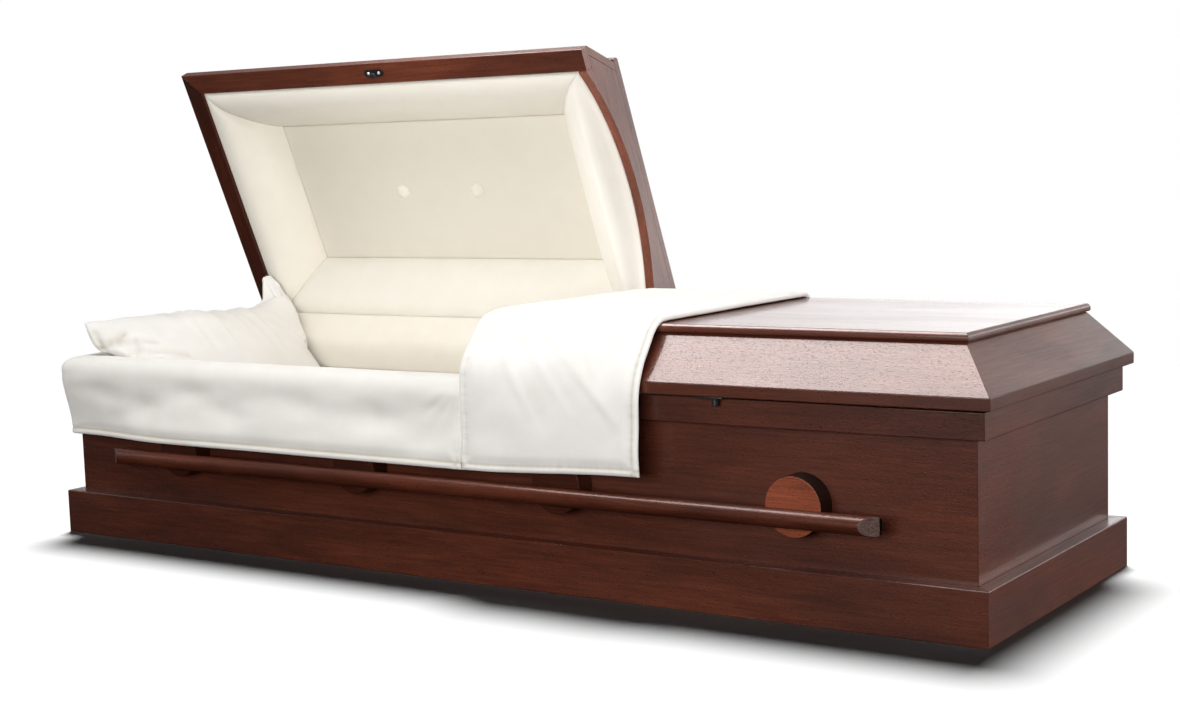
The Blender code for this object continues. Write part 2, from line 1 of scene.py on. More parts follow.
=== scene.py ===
import math
import bmesh
import bpy
from mathutils import Matrix, Vector, noise


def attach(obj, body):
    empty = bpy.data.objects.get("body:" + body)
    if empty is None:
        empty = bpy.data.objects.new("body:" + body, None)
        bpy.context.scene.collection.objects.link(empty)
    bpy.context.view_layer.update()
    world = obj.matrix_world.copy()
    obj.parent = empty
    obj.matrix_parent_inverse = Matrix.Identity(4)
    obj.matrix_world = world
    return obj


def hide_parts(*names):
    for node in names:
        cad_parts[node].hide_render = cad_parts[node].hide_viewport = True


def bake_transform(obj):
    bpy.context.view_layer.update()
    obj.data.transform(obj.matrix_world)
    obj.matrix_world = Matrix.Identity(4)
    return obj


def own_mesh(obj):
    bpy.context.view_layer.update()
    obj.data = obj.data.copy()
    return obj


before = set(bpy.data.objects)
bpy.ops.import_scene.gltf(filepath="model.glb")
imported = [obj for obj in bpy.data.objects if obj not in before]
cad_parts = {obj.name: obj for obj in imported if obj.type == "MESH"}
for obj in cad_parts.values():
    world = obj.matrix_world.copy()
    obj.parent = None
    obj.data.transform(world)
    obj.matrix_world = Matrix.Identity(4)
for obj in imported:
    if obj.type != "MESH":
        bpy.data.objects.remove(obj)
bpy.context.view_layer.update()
print("frame loaded:", len(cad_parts), "nodes")

# The box in plan: the plinth's outer lines, and the two lids' shared hinge line
hull = {
    "halfLength": 1.04,
    "halfWidth": 0.325,
    "hingeY": 0.326,
    "hingeZ": 0.36,
    "openAngle": math.radians(67.2),
    "splitFace": 0.0277,
}

# A piece of the head lid is drawn with the lid shut, then turned open by this
lidOpen = (
    Matrix.Translation((0, hull["hingeY"], hull["hingeZ"]))
    @ Matrix.Rotation(-hull["openAngle"], 4, "X")
    @ Matrix.Translation((0, -hull["hingeY"], -hull["hingeZ"]))
)

quarter = math.pi / 2

camera = {
    "place": (2.1298, -2.9849, 0.7783),
    "azimuth": 34.225,
    "elevation": 6.368,
    "roll": -1.797,
    "lens": 57.55,
    "sensor": 36.0,
}


def placeCamera():
    az, el, roll = (math.radians(camera[k]) for k in ("azimuth", "elevation", "roll"))
    ahead = Vector((-math.sin(az) * math.cos(el), math.cos(az) * math.cos(el), -math.sin(el)))
    level = Vector((math.cos(az), math.sin(az), 0))
    upright = level.cross(ahead)
    right = level * math.cos(roll) + upright * math.sin(roll)
    up = upright * math.cos(roll) - level * math.sin(roll)
    data = bpy.data.cameras.new("photoCamera")
    data.lens = camera["lens"]
    data.sensor_width = camera["sensor"]
    data.clip_end = 100
    holder = bpy.data.objects.new("photoCamera", data)
    bpy.context.scene.collection.objects.link(holder)
    turn = Matrix((right, up, -ahead)).transposed().to_4x4()
    holder.matrix_world = Matrix.Translation(camera["place"]) @ turn
    bpy.context.scene.camera = holder


def addObject(name, mesh):
    piece = bpy.data.objects.new(name, mesh)
    bpy.context.scene.collection.objects.link(piece)
    return piece


def meshFrom(shape, name):
    mesh = bpy.data.meshes.new(name)
    shape.to_mesh(mesh)
    shape.free()
    return mesh


def finishPiece(piece, body, material, slot, *nodes):
    piece.data.materials.clear()
    piece.data.materials.append(material)
    for face in piece.data.polygons:
        face.use_smooth = True
    if body:
        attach(piece, body)
    if nodes:
        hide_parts(*nodes)


def addPiece(name, shape, body, material, slot, *nodes, sharp=None):
    piece = addObject(name, meshFrom(shape, name))
    finishPiece(piece, body, material, slot, *nodes)
    if sharp:
        piece.data.set_sharp_from_angle(angle=math.radians(sharp))
    return piece


# Shaping helpers
def easeEdges(shape, edges, reach, steps):
    bmesh.ops.bevel(shape, geom=edges, offset=reach, offset_type="OFFSET", profile=0.5,
                    segments=steps, affect="EDGES", clamp_overlap=True, material=-1)


def blockBetween(low, high):
    low, high = Vector(low), Vector(high)
    shape = bmesh.new()
    size = Matrix.Diagonal((*(high - low), 1.0))
    bmesh.ops.create_cube(shape, size=1.0, matrix=Matrix.Translation((low + high) / 2) @ size)
    return shape


def spunPart(profile, steps, place):
    shape = bmesh.new()
    ring = [shape.verts.new((r, 0, z)) for r, z in profile]
    edges = [shape.edges.new(pair) for pair in zip(ring, ring[1:])]
    bmesh.ops.spin(shape, geom=ring + edges, cent=(0, 0, 0), axis=(0, 0, 1),
                   angle=2 * math.pi, steps=steps, use_merge=True)
    bmesh.ops.remove_doubles(shape, verts=shape.verts, dist=1e-6)
    bmesh.ops.recalc_face_normals(shape, faces=shape.faces)
    shape.transform(place)
    return shape


def vertsOf(result):
    return [g for g in result["geom"] if isinstance(g, bmesh.types.BMVert)]


# A second skin over the first, facing the other way
def twinSkin(shape):
    twins = bmesh.ops.duplicate(shape, geom=shape.verts[:] + shape.edges[:] + shape.faces[:])
    others = [g for g in twins["geom"] if isinstance(g, bmesh.types.BMFace)]
    bmesh.ops.reverse_faces(shape, faces=others)
    return twins["vert_map"]


def ease(low, high, value):
    t = clamped((value - low) / (high - low), 0.0, 1.0)
    return t * t * (3 - 2 * t)


def spaced(low, high, count):
    return [low + (high - low) * i / count for i in range(count + 1)]


def clamped(value, low, high):
    return max(low, min(high, value))


def hump(value, width):
    return math.exp(-((value / width) ** 2))


def softNoise(x, y, z=0.0):
    return noise.noise(Vector((x, y, z)))


# Ripples of several sizes, each as amount, scale across, scale along and seed
def rippled(u, v, waves):
    return sum(size * softNoise(u * across, v * down, seed) for size, across, down, seed in waves)


# Node helpers for the materials
def newMaterial(name):
    material = bpy.data.materials.new(name)
    material.use_nodes = True
    tree = material.node_tree
    return material, tree, tree.nodes["Principled BSDF"]


def addNode(tree, kind, **values):
    node = tree.nodes.new(kind)
    for key, value in values.items():
        if key in node.inputs:
            node.inputs[key].default_value = value
        else:
            setattr(node, key, value)
    return node


def setInputs(node, values):
    for name, value in values.items():
        node.inputs[name].default_value = value


def whereOn(tree, output="Object"):
    return tree.nodes.new("ShaderNodeTexCoord").outputs[output]


def attributeOn(tree, name):
    return addNode(tree, "ShaderNodeAttribute", attribute_name=name).outputs["Fac"]


def mapped(tree, source, turn=(0, 0, 0), scale=(1, 1, 1), shift=(0, 0, 0)):
    node = addNode(tree, "ShaderNodeMapping", Rotation=turn, Scale=scale, Location=shift)
    tree.links.new(source, node.inputs["Vector"])
    return node.outputs["Vector"]


# A scale of three numbers stretches the pattern
def noiseOn(tree, source, scale, detail=2.0, roughness=0.5, distortion=0.0):
    if isinstance(scale, tuple):
        source, scale = mapped(tree, source, scale=scale), 1.0
    node = addNode(tree, "ShaderNodeTexNoise", Scale=scale, Detail=detail,
                   Roughness=roughness, Distortion=distortion)
    tree.links.new(source, node.inputs["Vector"])
    return node.outputs["Fac"]


def ramp(tree, source, stops):
    node = tree.nodes.new("ShaderNodeValToRGB")
    tree.links.new(source, node.inputs["Fac"])
    band = node.color_ramp
    while len(band.elements) < len(stops):
        band.elements.new(0.5)
    for element, (place, color) in zip(band.elements, stops):
        element.position = place
        level = (color,) * 3 if isinstance(color, float) else color
        element.color = (*level, 1.0)
    return node.outputs["Color"]


def joinSockets(tree, pairs):
    for slot, value in pairs:
        if isinstance(value, bpy.types.NodeSocket):
            tree.links.new(value, slot)
        else:
            slot.default_value = value


def mixed(tree, kind, share, first, second):
    node = tree.nodes.new("ShaderNodeMix")
    node.data_type = "RGBA"
    node.blend_type = kind
    joinSockets(tree, ((node.inputs[0], share), (node.inputs[6], first), (node.inputs[7], second)))
    return node.outputs[2]


def shaded(tree, body, source, stops):
    return mixed(tree, "MULTIPLY", 1.0, body, ramp(tree, source, stops))


def calc(tree, operation, first, second=0.0):
    node = tree.nodes.new("ShaderNodeMath")
    node.operation = operation
    joinSockets(tree, zip(node.inputs, (first, second)))
    return node.outputs[0]


def ranged(tree, source, fromMin, fromMax, toMin, toMax, kind="LINEAR"):
    node = addNode(tree, "ShaderNodeMapRange", interpolation_type=kind)
    setInputs(node, {"From Min": fromMin, "From Max": fromMax, "To Min": toMin, "To Max": toMax})
    tree.links.new(source, node.inputs["Value"])
    return node.outputs["Result"]


def bumped(tree, shader, height, strength, distance):
    node = addNode(tree, "ShaderNodeBump", Strength=strength, Distance=distance)
    tree.links.new(height, node.inputs["Height"])
    tree.links.new(node.outputs["Normal"], shader.inputs["Normal"])


# Stained mahogany: a broad figure, fine fibres and short open pores under lacquer.
# Each pattern has its scale along and across the grain, its detail and its roughness
stain = {
    "tones": [(0.28, (0.046, 0.0118, 0.006)), (0.52, (0.09, 0.0222, 0.011)),
              (0.76, (0.136, 0.035, 0.0172))],
    "figure": ((1.6, 7.0, 7.0), 5.0, 0.62, 0.6),
    "fibre": ((10.0, 330.0, 330.0), 3.0, 0.6),
    "fibreShade": [(0.3, 0.76), (0.7, 1.2)],
    "grain": ((9.0, 150.0, 150.0), 2.0, 0.6),
    "grainShade": [(0.32, 0.83), (0.66, 1.11)],
    "clouds": ((2.4, 6.5, 6.5), 3.0, 0.5),
    "cloudsShade": [(0.32, 0.7), (0.66, 1.18)],
    "pores": ((170.0, 820.0, 820.0), 1.0, 0.5),
    "poreEdge": [(0.6, 0.0), (0.71, 0.7)],
    "poreTone": (0.022, 0.0065, 0.004, 1.0),
    "poreDepth": 0.0005,
    "poreShine": 0.55,
    "pebble": ((150.0, 400.0, 400.0), 2.0, 0.5),
    "fibreHeight": 0.25,
    "sheenTone": (1.0, 0.74, 0.69, 1.0),
    "gloss": (0.55, 1.05, 0.48, 0.3),
    "glossFibre": 0.6,
    "discShade": [(0.3, 0.05), (0.8, 1.0)],
    "discGloss": (0.4, 0.9, 0.85, 0.4),
    "hatch": ((60.0, 420.0, 420.0), 2.0, 0.6),
    "hatchTones": [(0.35, (0.055, 0.031, 0.026)), (0.65, (0.12, 0.078, 0.068))],
    "facets": [(0.3, 0.0), (0.45, 1.0)],
    "flatEnd": [(0.9, 1.0), (0.97, 0.06)],
    "flatShine": (0.9, 0.97, 1.0, 0.0),
}

# Lacquers as specular level, coat and the coat's roughness
fullLacquer = (0.38, 0.42, 0.11)
barLacquer = (0.16, 0.26, 0.17)
blockLacquer = (0.15, 0.12, 0.2)


def makeWood(name, shift, tone=1.0, turn=(0, 0, 0), lacquer=fullLacquer, cut=None):
    material, tree, shader = newMaterial(name)
    grainward = mapped(tree, whereOn(tree), turn=turn, shift=shift)
    patterns = {key: noiseOn(tree, grainward, *stain[key])
                for key in ("figure", "fibre", "grain", "clouds", "pores", "pebble")}
    tones = [(place, [c * tone for c in level]) for place, level in stain["tones"]]
    body = ramp(tree, patterns["figure"], tones)
    for key in ("fibre", "grain", "clouds"):
        body = shaded(tree, body, patterns[key], stain[key + "Shade"])
    openPores = ramp(tree, patterns["pores"], stain["poreEdge"])
    body = mixed(tree, "MIX", openPores, body, stain["poreTone"])
    dulled = calc(tree, "MULTIPLY", patterns["fibre"], stain["glossFibre"])
    gloss = ranged(tree, calc(tree, "ADD", patterns["clouds"], dulled), *stain["gloss"])
    if cut:
        facing = tree.nodes.new("ShaderNodeSeparateXYZ")
        tree.links.new(whereOn(tree, "Normal"), facing.inputs[0])
        face = calc(tree, "ABSOLUTE", facing.outputs["Y" if cut == "disc" else "X"])
    if cut == "disc":
        # The turned edge is drawn near black, far darker than the face
        body = shaded(tree, body, face, stain["discShade"])
        gloss = ranged(tree, face, *stain["discGloss"])
    if cut == "bar":
        # Bare end grain on the cut facets, and a dark flat end
        hatch = ramp(tree, noiseOn(tree, grainward, *stain["hatch"]), stain["hatchTones"])
        body = mixed(tree, "MIX", ramp(tree, face, stain["facets"]), body, hatch)
        body = shaded(tree, body, face, stain["flatEnd"])
    tree.links.new(body, shader.inputs["Base Color"])
    tree.links.new(gloss, shader.inputs["Roughness"])
    specular, coat, coatRoughness = lacquer
    setInputs(shader, {"Specular Tint": stain["sheenTone"], "Coat Roughness": coatRoughness})
    for socket, value in (("Specular IOR Level", specular), ("Coat Weight", coat)):
        # The pores break the shine, and a flat sawn end has none
        shine = ranged(tree, openPores, 0.0, 0.75, value, value * stain["poreShine"])
        if cut == "bar":
            shine = calc(tree, "MULTIPLY", shine, ranged(tree, face, *stain["flatShine"]))
        tree.links.new(shine, shader.inputs[socket])
    height = calc(tree, "MULTIPLY", patterns["fibre"], stain["fibreHeight"])
    height = calc(tree, "ADD", calc(tree, "SUBTRACT", height, openPores), patterns["pebble"])
    bumped(tree, shader, height, 0.5, stain["poreDepth"])
    return material


crosswise = (0, 0, quarter)
openCrosswise = (hull["openAngle"], 0, quarter)
wood = {
    "plinth": makeWood("mahoganyPlinth", (0.3, 0.1, 0.7)),
    "wall": makeWood("mahoganyWall", (1.7, 0.4, 0.2), 0.9),
    "rim": makeWood("mahoganyRim", (2.9, 0.2, 0.5)),
    "lid": makeWood("mahoganyLid", (4.1, 0.6, 0.1)),
    "top": makeWood("mahoganyTop", (5.3, 0.3, 0.9)),
    "handle": makeWood("mahoganyHandle", (6.7, 0.8, 0.4), lacquer=barLacquer, cut="bar"),
    # Block 4's face takes a much lighter tone as painted light; the blocks under the apron take a
    # darker copy as painted shade
    "block": makeWood("mahoganyLitBlock", (2.2, 0.9, 0.8), 2.4, lacquer=blockLacquer, cut="disc"),
    "shadedBlock": makeWood("mahoganyShadedBlock", (5.2, 0.1, 0.6), 0.55, lacquer=blockLacquer),
    "across": makeWood("mahoganyAcross", (7.9, 0.5, 0.3), turn=crosswise),
    # The open head lid's boards take lighter copies as painted light, its arched end board much
    # lighter for light bounced off the lining; its head-end boards take a darker copy as painted shade
    "litOpenLid": makeWood("mahoganyLitOpenLid", (3.1, 0.3, 0.4), 1.4),
    "litLidEnd": makeWood("mahoganyLitLidEnd", (8.3, 0.1, 0.2), 1.35, openCrosswise),
    "arch": makeWood("mahoganyLitArch", (8.3, 0.1, 0.2), 2.4, openCrosswise),
    "shadedOpenAcross": makeWood("mahoganyShadedOpenAcross", (9.1, 0.7, 0.6), 0.75, openCrosswise),
}

# Brushed cloth over a fine weave; the seam attributes gather it beside a row of stitches and paint
# shade in the pleats, along the sewn groove and in the pillow's creases
weave = {
    "clouds": (18.0, 3.0, 0.55),
    "cloudEdge": (0.32, 0.66),
    "threads": (900.0, 2.0, 0.6),
    "threadShade": [(0.3, 0.955), (0.7, 1.0)],
    "threadHeight": 0.1,
    "surface": {"Roughness": 0.9, "Specular IOR Level": 0.2, "Sheen Roughness": 0.5},
    "seamShadeTone": (0.75, 0.71, 0.63, 1.0),
    "pleats": {"seamAcross": (85.0, 9.0, 1.0), "seamAlong": (9.0, 85.0, 1.0)},
    "pleatTones": [(0.3, 0.8), (0.6, 1.0)],
    "pleatShade": 0.35,
    "pleatHeight": 2.6,
}


def makeCloth(name, color, shade, nap, sheen=0.25, sewn=False, gathered=False):
    material, tree, shader = newMaterial(name)
    soft, threads = (noiseOn(tree, whereOn(tree), *weave[key]) for key in ("clouds", "threads"))
    body = ramp(tree, soft, list(zip(weave["cloudEdge"], (shade, color))))
    body = shaded(tree, body, threads, weave["threadShade"])
    setInputs(shader, {**weave["surface"], "Sheen Weight": sheen})
    height = calc(tree, "ADD", calc(tree, "MULTIPLY", threads, weave["threadHeight"]), soft)
    # Painted shade along the sewn grooves; on the pillow, sewn turns on painted shade in its creases
    if sewn or gathered:
        body = mixed(tree, "MULTIPLY", attributeOn(tree, "seamAndCreaseShade"), body, weave["seamShadeTone"])
    if gathered:
        for attribute, stretch in weave["pleats"].items():
            mask = attributeOn(tree, attribute)
            pleats = noiseOn(tree, whereOn(tree, "UV"), stretch, 1.0, 0.4)
            gather = calc(tree, "MULTIPLY", calc(tree, "MULTIPLY", pleats, mask), weave["pleatHeight"])
            height = calc(tree, "ADD", height, gather)
            # Painted shade in the pleats' folds
            body = mixed(tree, "MULTIPLY", calc(tree, "MULTIPLY", mask, weave["pleatShade"]), body,
                         ramp(tree, pleats, weave["pleatTones"]))
    tree.links.new(body, shader.inputs["Base Color"])
    bumped(tree, shader, height, 0.6, nap)
    return material


cloth = {
    "bedding": makeCloth("ivoryBedding", (0.875, 0.848, 0.802), (0.845, 0.812, 0.762), 0.0015,
                         gathered=True),
    # The throw takes a lighter copy of the bedding cloth, as painted light
    "throw": makeCloth("ivoryLitThrow", (0.945, 0.922, 0.878), (0.905, 0.878, 0.828), 0.0013,
                       gathered=True),
    "pillow": makeCloth("ivoryPillow", (0.83, 0.808, 0.775), (0.8, 0.773, 0.735), 0.001, sewn=True),
    # The mattress cloth is made lighter, as painted light
    "bed": makeCloth("ivoryLitBed", (0.91, 0.87, 0.8), (0.89, 0.85, 0.775), 0.0012),
    "roll": makeCloth("creamRoll", (0.86, 0.82, 0.73), (0.84, 0.795, 0.7), 0.0006, 0.15),
    # The split-side roll takes a lighter copy of the roll cloth as painted light, the rear roll a
    # darker copy as painted shade
    "litSplitRoll": makeCloth("creamLitSplitRoll", (0.93, 0.89, 0.81), (0.91, 0.865, 0.775), 0.0006, 0.15),
    "shadedRearRoll": makeCloth("creamShadedRearRoll", (0.84, 0.8, 0.72), (0.82, 0.775, 0.69), 0.0006, 0.15),
    "panel": makeCloth("creamPanel", (0.8, 0.755, 0.655), (0.785, 0.74, 0.635), 0.0006, 0.15),
    "wall": makeCloth("creamWall", (0.85, 0.8, 0.71), (0.83, 0.775, 0.68), 0.0008, 0.15),
    "thread": makeCloth("ivoryThread", (0.78, 0.74, 0.67), (0.74, 0.7, 0.62), 0.0002, 0.1),
}


def makeMetal(name, color, metallic, roughness):
    material, tree, shader = newMaterial(name)
    grain = noiseOn(tree, whereOn(tree), 1400.0, 2.0, 0.6)
    wear = ramp(tree, noiseOn(tree, whereOn(tree), 90.0, 3.0, 0.6), [(0.45, 0.0), (0.75, 0.5)])
    worn = [min(1.0, c * 1.6 + 0.008) for c in color]
    body = mixed(tree, "MIX", wear, (*color, 1.0), (*worn, 1.0))
    tree.links.new(body, shader.inputs["Base Color"])
    setInputs(shader, {"Metallic": metallic, "Roughness": roughness})
    bumped(tree, shader, grain, 0.15, 0.0002)
    return material


metal = {
    "black": makeMetal("satinBlack", (0.012, 0.012, 0.013), 0.2, 0.42),
    "steel": makeMetal("platedSteel", (0.42, 0.39, 0.34), 1.0, 0.36),
    "screw": makeMetal("brightScrew", (0.8, 0.74, 0.62), 1.0, 0.28),
}
print("materials made")

# Wooden boards: the solids' own shape, with their sharp edges eased
boards = {
    "easing": 0.0008,
    "tightEasing": 0.00025,
    "steps": 3,
    "leafEasing": 0.0003,
    "sharp": math.radians(32),
    "shadedSharp": math.radians(45),
    "flat": math.radians(1.0),
    "endFacing": 0.9,
    "merge": 0.00003,
    "moulding": 0.014,
    "overhang": 0.003,
}


# The moulded edge of a lid's top stands a little proud of the slopes below it
def proudEdge(shape, turn):
    shape.transform(turn.inverted())
    for axis in (0, 1):
        reach = max(abs(v.co[axis]) for v in shape.verts)
        for vert in shape.verts:
            if abs(vert.co[axis]) > reach - boards["moulding"]:
                vert.co[axis] += math.copysign(boards["overhang"], vert.co[axis])
    shape.transform(turn)


def easedCopy(node, easing):
    shape = bmesh.new()
    shape.from_mesh(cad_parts[node].data)
    if node.endswith("_top"):
        proudEdge(shape, lidOpen if node.startswith("head") else Matrix())
    bmesh.ops.remove_doubles(shape, verts=shape.verts, dist=boards["merge"])
    bmesh.ops.dissolve_limit(shape, angle_limit=boards["flat"], verts=shape.verts,
                             edges=shape.edges)
    keen = [e for e in shape.edges
            if len(e.link_faces) == 2 and e.calc_face_angle() > boards["sharp"]]
    easeEdges(shape, keen, easing, boards["steps"])
    return meshFrom(shape, node)


def dressNode(node, body, material, slot, easing=boards["easing"], litEndMaterial=None):
    piece = addObject(node + "-finished", easedCopy(node, easing))
    finishPiece(piece, body, material, slot, node)
    # Faces turned toward the foot take a lighter copy of the wood, as painted light
    if litEndMaterial:
        piece.data.materials.append(litEndMaterial)
        for face in piece.data.polygons:
            face.material_index = int(face.normal.x > boards["endFacing"])
    piece.data.set_sharp_from_angle(angle=boards["shadedSharp"])
    normals = piece.modifiers.new("even shading", "WEIGHTED_NORMAL")
    normals.keep_sharp = True


def dressLid(lid, end, across, straight, arched, easing, litEnd=None):
    for kind in ("rail", "slope"):
        for side in ("front", "rear", end):
            material = across if side == end else straight
            dressNode(f"{lid}_{kind}_{side}", lid, wood[material], "wood", easing, litEnd)
    dressNode(f"{lid}_top", lid, wood["top"], "wood", easing, litEnd)
    dressNode(f"{lid}_end_board", lid, wood[arched], "wood", boards["tightEasing"], litEnd)


def dressBoards():
    dressNode("floor_board", "root", wood["wall"], "wood")
    for side in ("front", "rear", "head", "foot"):
        for kind in ("plinth", "wall", "rim"):
            material = "across" if side in ("head", "foot") else kind
            dressNode(f"{kind}_{side}", "root", wood[material], "wood")
    dressLid("head_lid", "head", "shadedOpenAcross", "litOpenLid", "arch", boards["tightEasing"],
             wood["litLidEnd"])
    dressLid("foot_lid", "foot", "across", "lid", "across", boards["easing"])
    for side in ("front", "rear"):
        dressNode(f"handle_bar_{side}", "root", wood["handle"], "wood")
        for number in range(1, 5):
            # Block 4 takes the lit copy of the wood, the others the shaded copy
            dressNode(f"handle_block_{side}_{number}", "root",
                      wood["block" if number == 4 else "shadedBlock"], "wood")
    for lid in ("head_lid", "foot_lid"):
        for leaf, body in (("box", "root"), ("lid", lid)):
            dressNode(f"{lid}_hinge_{leaf}_leaf", body, metal["steel"], "hinge", boards["leafEasing"])


dressBoards()
print("boards dressed")


# A smooth line through a few points, read by its share of the length
def softLine(points, steps=10):
    knots = [Vector(p) for p in points]
    knots = [knots[0] * 2 - knots[1], *knots, knots[-1] * 2 - knots[-2]]
    dots = []
    for a, b, c, d in zip(knots, knots[1:], knots[2:], knots[3:]):
        for i in range(steps):
            t = i / steps
            bend = (2 * a - 5 * b + 4 * c - d) * t ** 2 + (3 * b - a - 3 * c + d) * t ** 3
            dots.append((2 * b + (c - a) * t + bend) / 2)
    dots.append(knots[-2])
    marks = [0.0]
    for a, b in zip(dots, dots[1:]):
        marks.append(marks[-1] + (b - a).length)
    return dots, marks


def along(line, share):
    dots, marks = line
    goal = clamped(share, 0.0, 1.0) * marks[-1]
    low, high = 0, len(marks) - 1
    while high - low > 1:
        middle = (low + high) // 2
        low, high = (middle, high) if marks[middle] <= goal else (low, middle)
    return dots[low].lerp(dots[high], (goal - marks[low]) / (marks[high] - marks[low]))


def outwardOf(line, share, reach=0.006):
    ahead = along(line, share + reach) - along(line, share - reach)
    return Vector((ahead[1], -ahead[0])).normalized()


# A quilted edge: a rolled bead, a sewn line beside it, then the filling
edging = {
    "bead": 0.0046,
    "sewn": 0.0118,
    "groove": 0.0022,
    "sewnRun": 0.0042,
    "fillingRun": 0.018,
    "puckers": 0.0075,
    # How wide the painted shade along the sewn line spreads
    "line": 0.0026,
    "steps": [0.0, 0.0007, 0.002, 0.0045, 0.0075, 0.01, 0.0118, 0.0136, 0.0165, 0.0205, 0.026],
}


# Rows of points along a length, closer together beside a hem
def stations(length, step, hemFirst=True):
    near, wide = edging["steps"][:-1], edging["steps"][-1]
    low, high = wide if hemFirst else 0.0, length - wide
    marks = spaced(low, high, round((high - low) / step))
    return (near if hemFirst else []) + marks + [length - d for d in reversed(near)]


# A grid laid out by a function, with the two measures it was laid by at each point
def laidGrid(columns, rows, place):
    shape = bmesh.new()
    layer = shape.loops.layers.uv.new("cloth")
    bmesh.ops.create_grid(shape, x_segments=len(columns) - 1, y_segments=len(rows) - 1, size=0.5)
    marks = []
    for vert in shape.verts:
        u = columns[round((vert.co.x + 0.5) * (len(columns) - 1))]
        v = rows[round((vert.co.y + 0.5) * (len(rows) - 1))]
        for loop in vert.link_loops:
            loop[layer].uv = (u, v)
        vert.co = place(u, v)
        marks.append((u, v))
    return shape, marks


# Such a grid joined into a tube with filled ends
def tubeFrom(columns, rows, place):
    shape = laidGrid(columns, rows, place)[0]
    bmesh.ops.remove_doubles(shape, verts=shape.verts, dist=1e-6)
    bmesh.ops.holes_fill(shape, edges=[e for e in shape.edges if e.is_boundary])
    bmesh.ops.recalc_face_normals(shape, faces=shape.faces)
    return shape


# Two skins on either side of a middle surface, closed by a rounded rim
def quilt(columns, rows, place, depthAt, seamsAt=lambda u, v: (0.0, 0.0, 0.0)):
    shape, marks = laidGrid(columns, rows, place)
    layers = [shape.verts.layers.float.new(name)
              for name in ("depth", "seamAcross", "seamAlong", "seamAndCreaseShade")]
    for vert, (u, v) in zip(shape.verts, marks):
        for layer, value in zip(layers, (depthAt(u, v), *seamsAt(u, v))):
            vert[layer] = value
    shape.normal_update()
    middles = [(v, v.co.copy(), v.normal.copy(), v[layers[0]] / 2) for v in shape.verts]
    twins = twinSkin(shape)
    for vert, middle, normal, half in middles:
        vert.co = middle + normal * half
        twins[vert].co = middle - normal * half
    bmesh.ops.bridge_loops(shape, edges=[e for e in shape.edges if e.is_boundary])
    return shape


# How deep a quilted edge is at a distance in from it
def quiltedDepth(distance, full, sewn=edging["sewn"]):
    bead, groove = edging["bead"], edging["groove"]
    if distance < bead:
        return max(0.0004, 2 * math.sqrt(bead ** 2 - (bead - distance) ** 2))
    if distance < sewn:
        return 2 * bead - (2 * bead - groove) * ease(sewn - edging["sewnRun"], sewn, distance)
    return groove + (full - groove) * ease(sewn, sewn + edging["fillingRun"], distance) ** 0.75


# How much a spot is gathered beside the sewn line, or given painted shade along it
def besideSeam(kind, *distances):
    return max(hump(distance - edging["sewn"], edging[kind]) for distance in distances)


# The quilted throw over the foot lid, as (y, z) lines at its two ends from rear to hem
throw = {
    "left": [(0.317, 0.424), (0.299, 0.449), (0.283, 0.4735), (0.268, 0.486), (0.24, 0.4885),
             (0.18, 0.489), (0.09, 0.489), (0.0, 0.4892), (-0.09, 0.49),
             (-0.16, 0.4905), (-0.21, 0.49), (-0.242, 0.4872), (-0.27, 0.479),
             (-0.293, 0.461), (-0.311, 0.437), (-0.329, 0.417), (-0.34, 0.396),
             (-0.344, 0.37), (-0.3455, 0.34), (-0.3465, 0.3), (-0.3472, 0.255),
             (-0.3472, 0.213)],
    "right": [(0.317, 0.424), (0.299, 0.449), (0.283, 0.4735), (0.268, 0.4855), (0.24, 0.4872),
              (0.18, 0.4875), (0.09, 0.4875), (0.0, 0.4875), (-0.09, 0.4875),
              (-0.16, 0.4875), (-0.21, 0.4872), (-0.245, 0.4868), (-0.27, 0.4835),
              (-0.292, 0.468), (-0.311, 0.444), (-0.329, 0.417), (-0.341, 0.39),
              (-0.348, 0.36), (-0.351, 0.33), (-0.3525, 0.295), (-0.353, 0.26),
              (-0.3525, 0.227)],
    "startX": 0.05,
    "width": 0.3818,
    "depth": 0.0115,
    "ripple": 0.003,
    "waves": [(1.0, 9.0, 9.0, 2.0), (0.5, 20.0, 19.0, 7.0)],
    "lies": (0.08, 0.16),
    "hangs": (0.62, 0.8),
    "folds": [(0.035, 0.11, 0.0019), (0.075, 0.15, 0.0013), (0.115, 0.19, 0.0016),
              (0.165, 0.14, 0.0011), (0.215, 0.1, 0.001)],
    "foldsFrom": (0.6, 0.7),
    "foldsTo": (0.8, 0.95),
    "foldWidth": 0.011,
    "foldPivot": (0.66, 0.2),
    "lyingShare": 0.25,
    "lineShades": (0.8, 0.15),
    "step": 0.0052,
    "stitch": (0.003, 0.0009),
    "stitchPitch": 0.0046,
    "stitchFeel": 0.002,
    "firstStitch": 3,
}


def throwPlace(u, v):
    share = v / throw["length"]
    across = ease(0.0, throw["width"], u)
    left, right = (along(line, share) for line in throw["lines"])
    leftOut, rightOut = (outwardOf(line, share) for line in throw["lines"])
    x = throw["startX"] + u
    hanging = ease(*throw["hangs"], share)
    lying = ease(*throw["lies"], share) * (1 - hanging)
    lift = throw["ripple"] * rippled(x, share, throw["waves"])
    lift *= throw["lyingShare"] * lying + hanging
    # Soft creases fall from the corner where the cloth turns over the lid
    folded = ease(*throw["foldsFrom"], share) * (1 - ease(*throw["foldsTo"], share))
    pivot, run = throw["foldPivot"]
    for start, lean, size in throw["folds"]:
        offset = u - start - lean * (share - pivot) / run
        lift += size * hump(offset, throw["foldWidth"]) * folded
    spot = left.lerp(right, across) + leftOut.lerp(rightOut, across) * lift
    return Vector((x, spot[0], spot[1]))


def throwEdges(u, v):
    return u, throw["width"] - u, throw["length"] - v, v


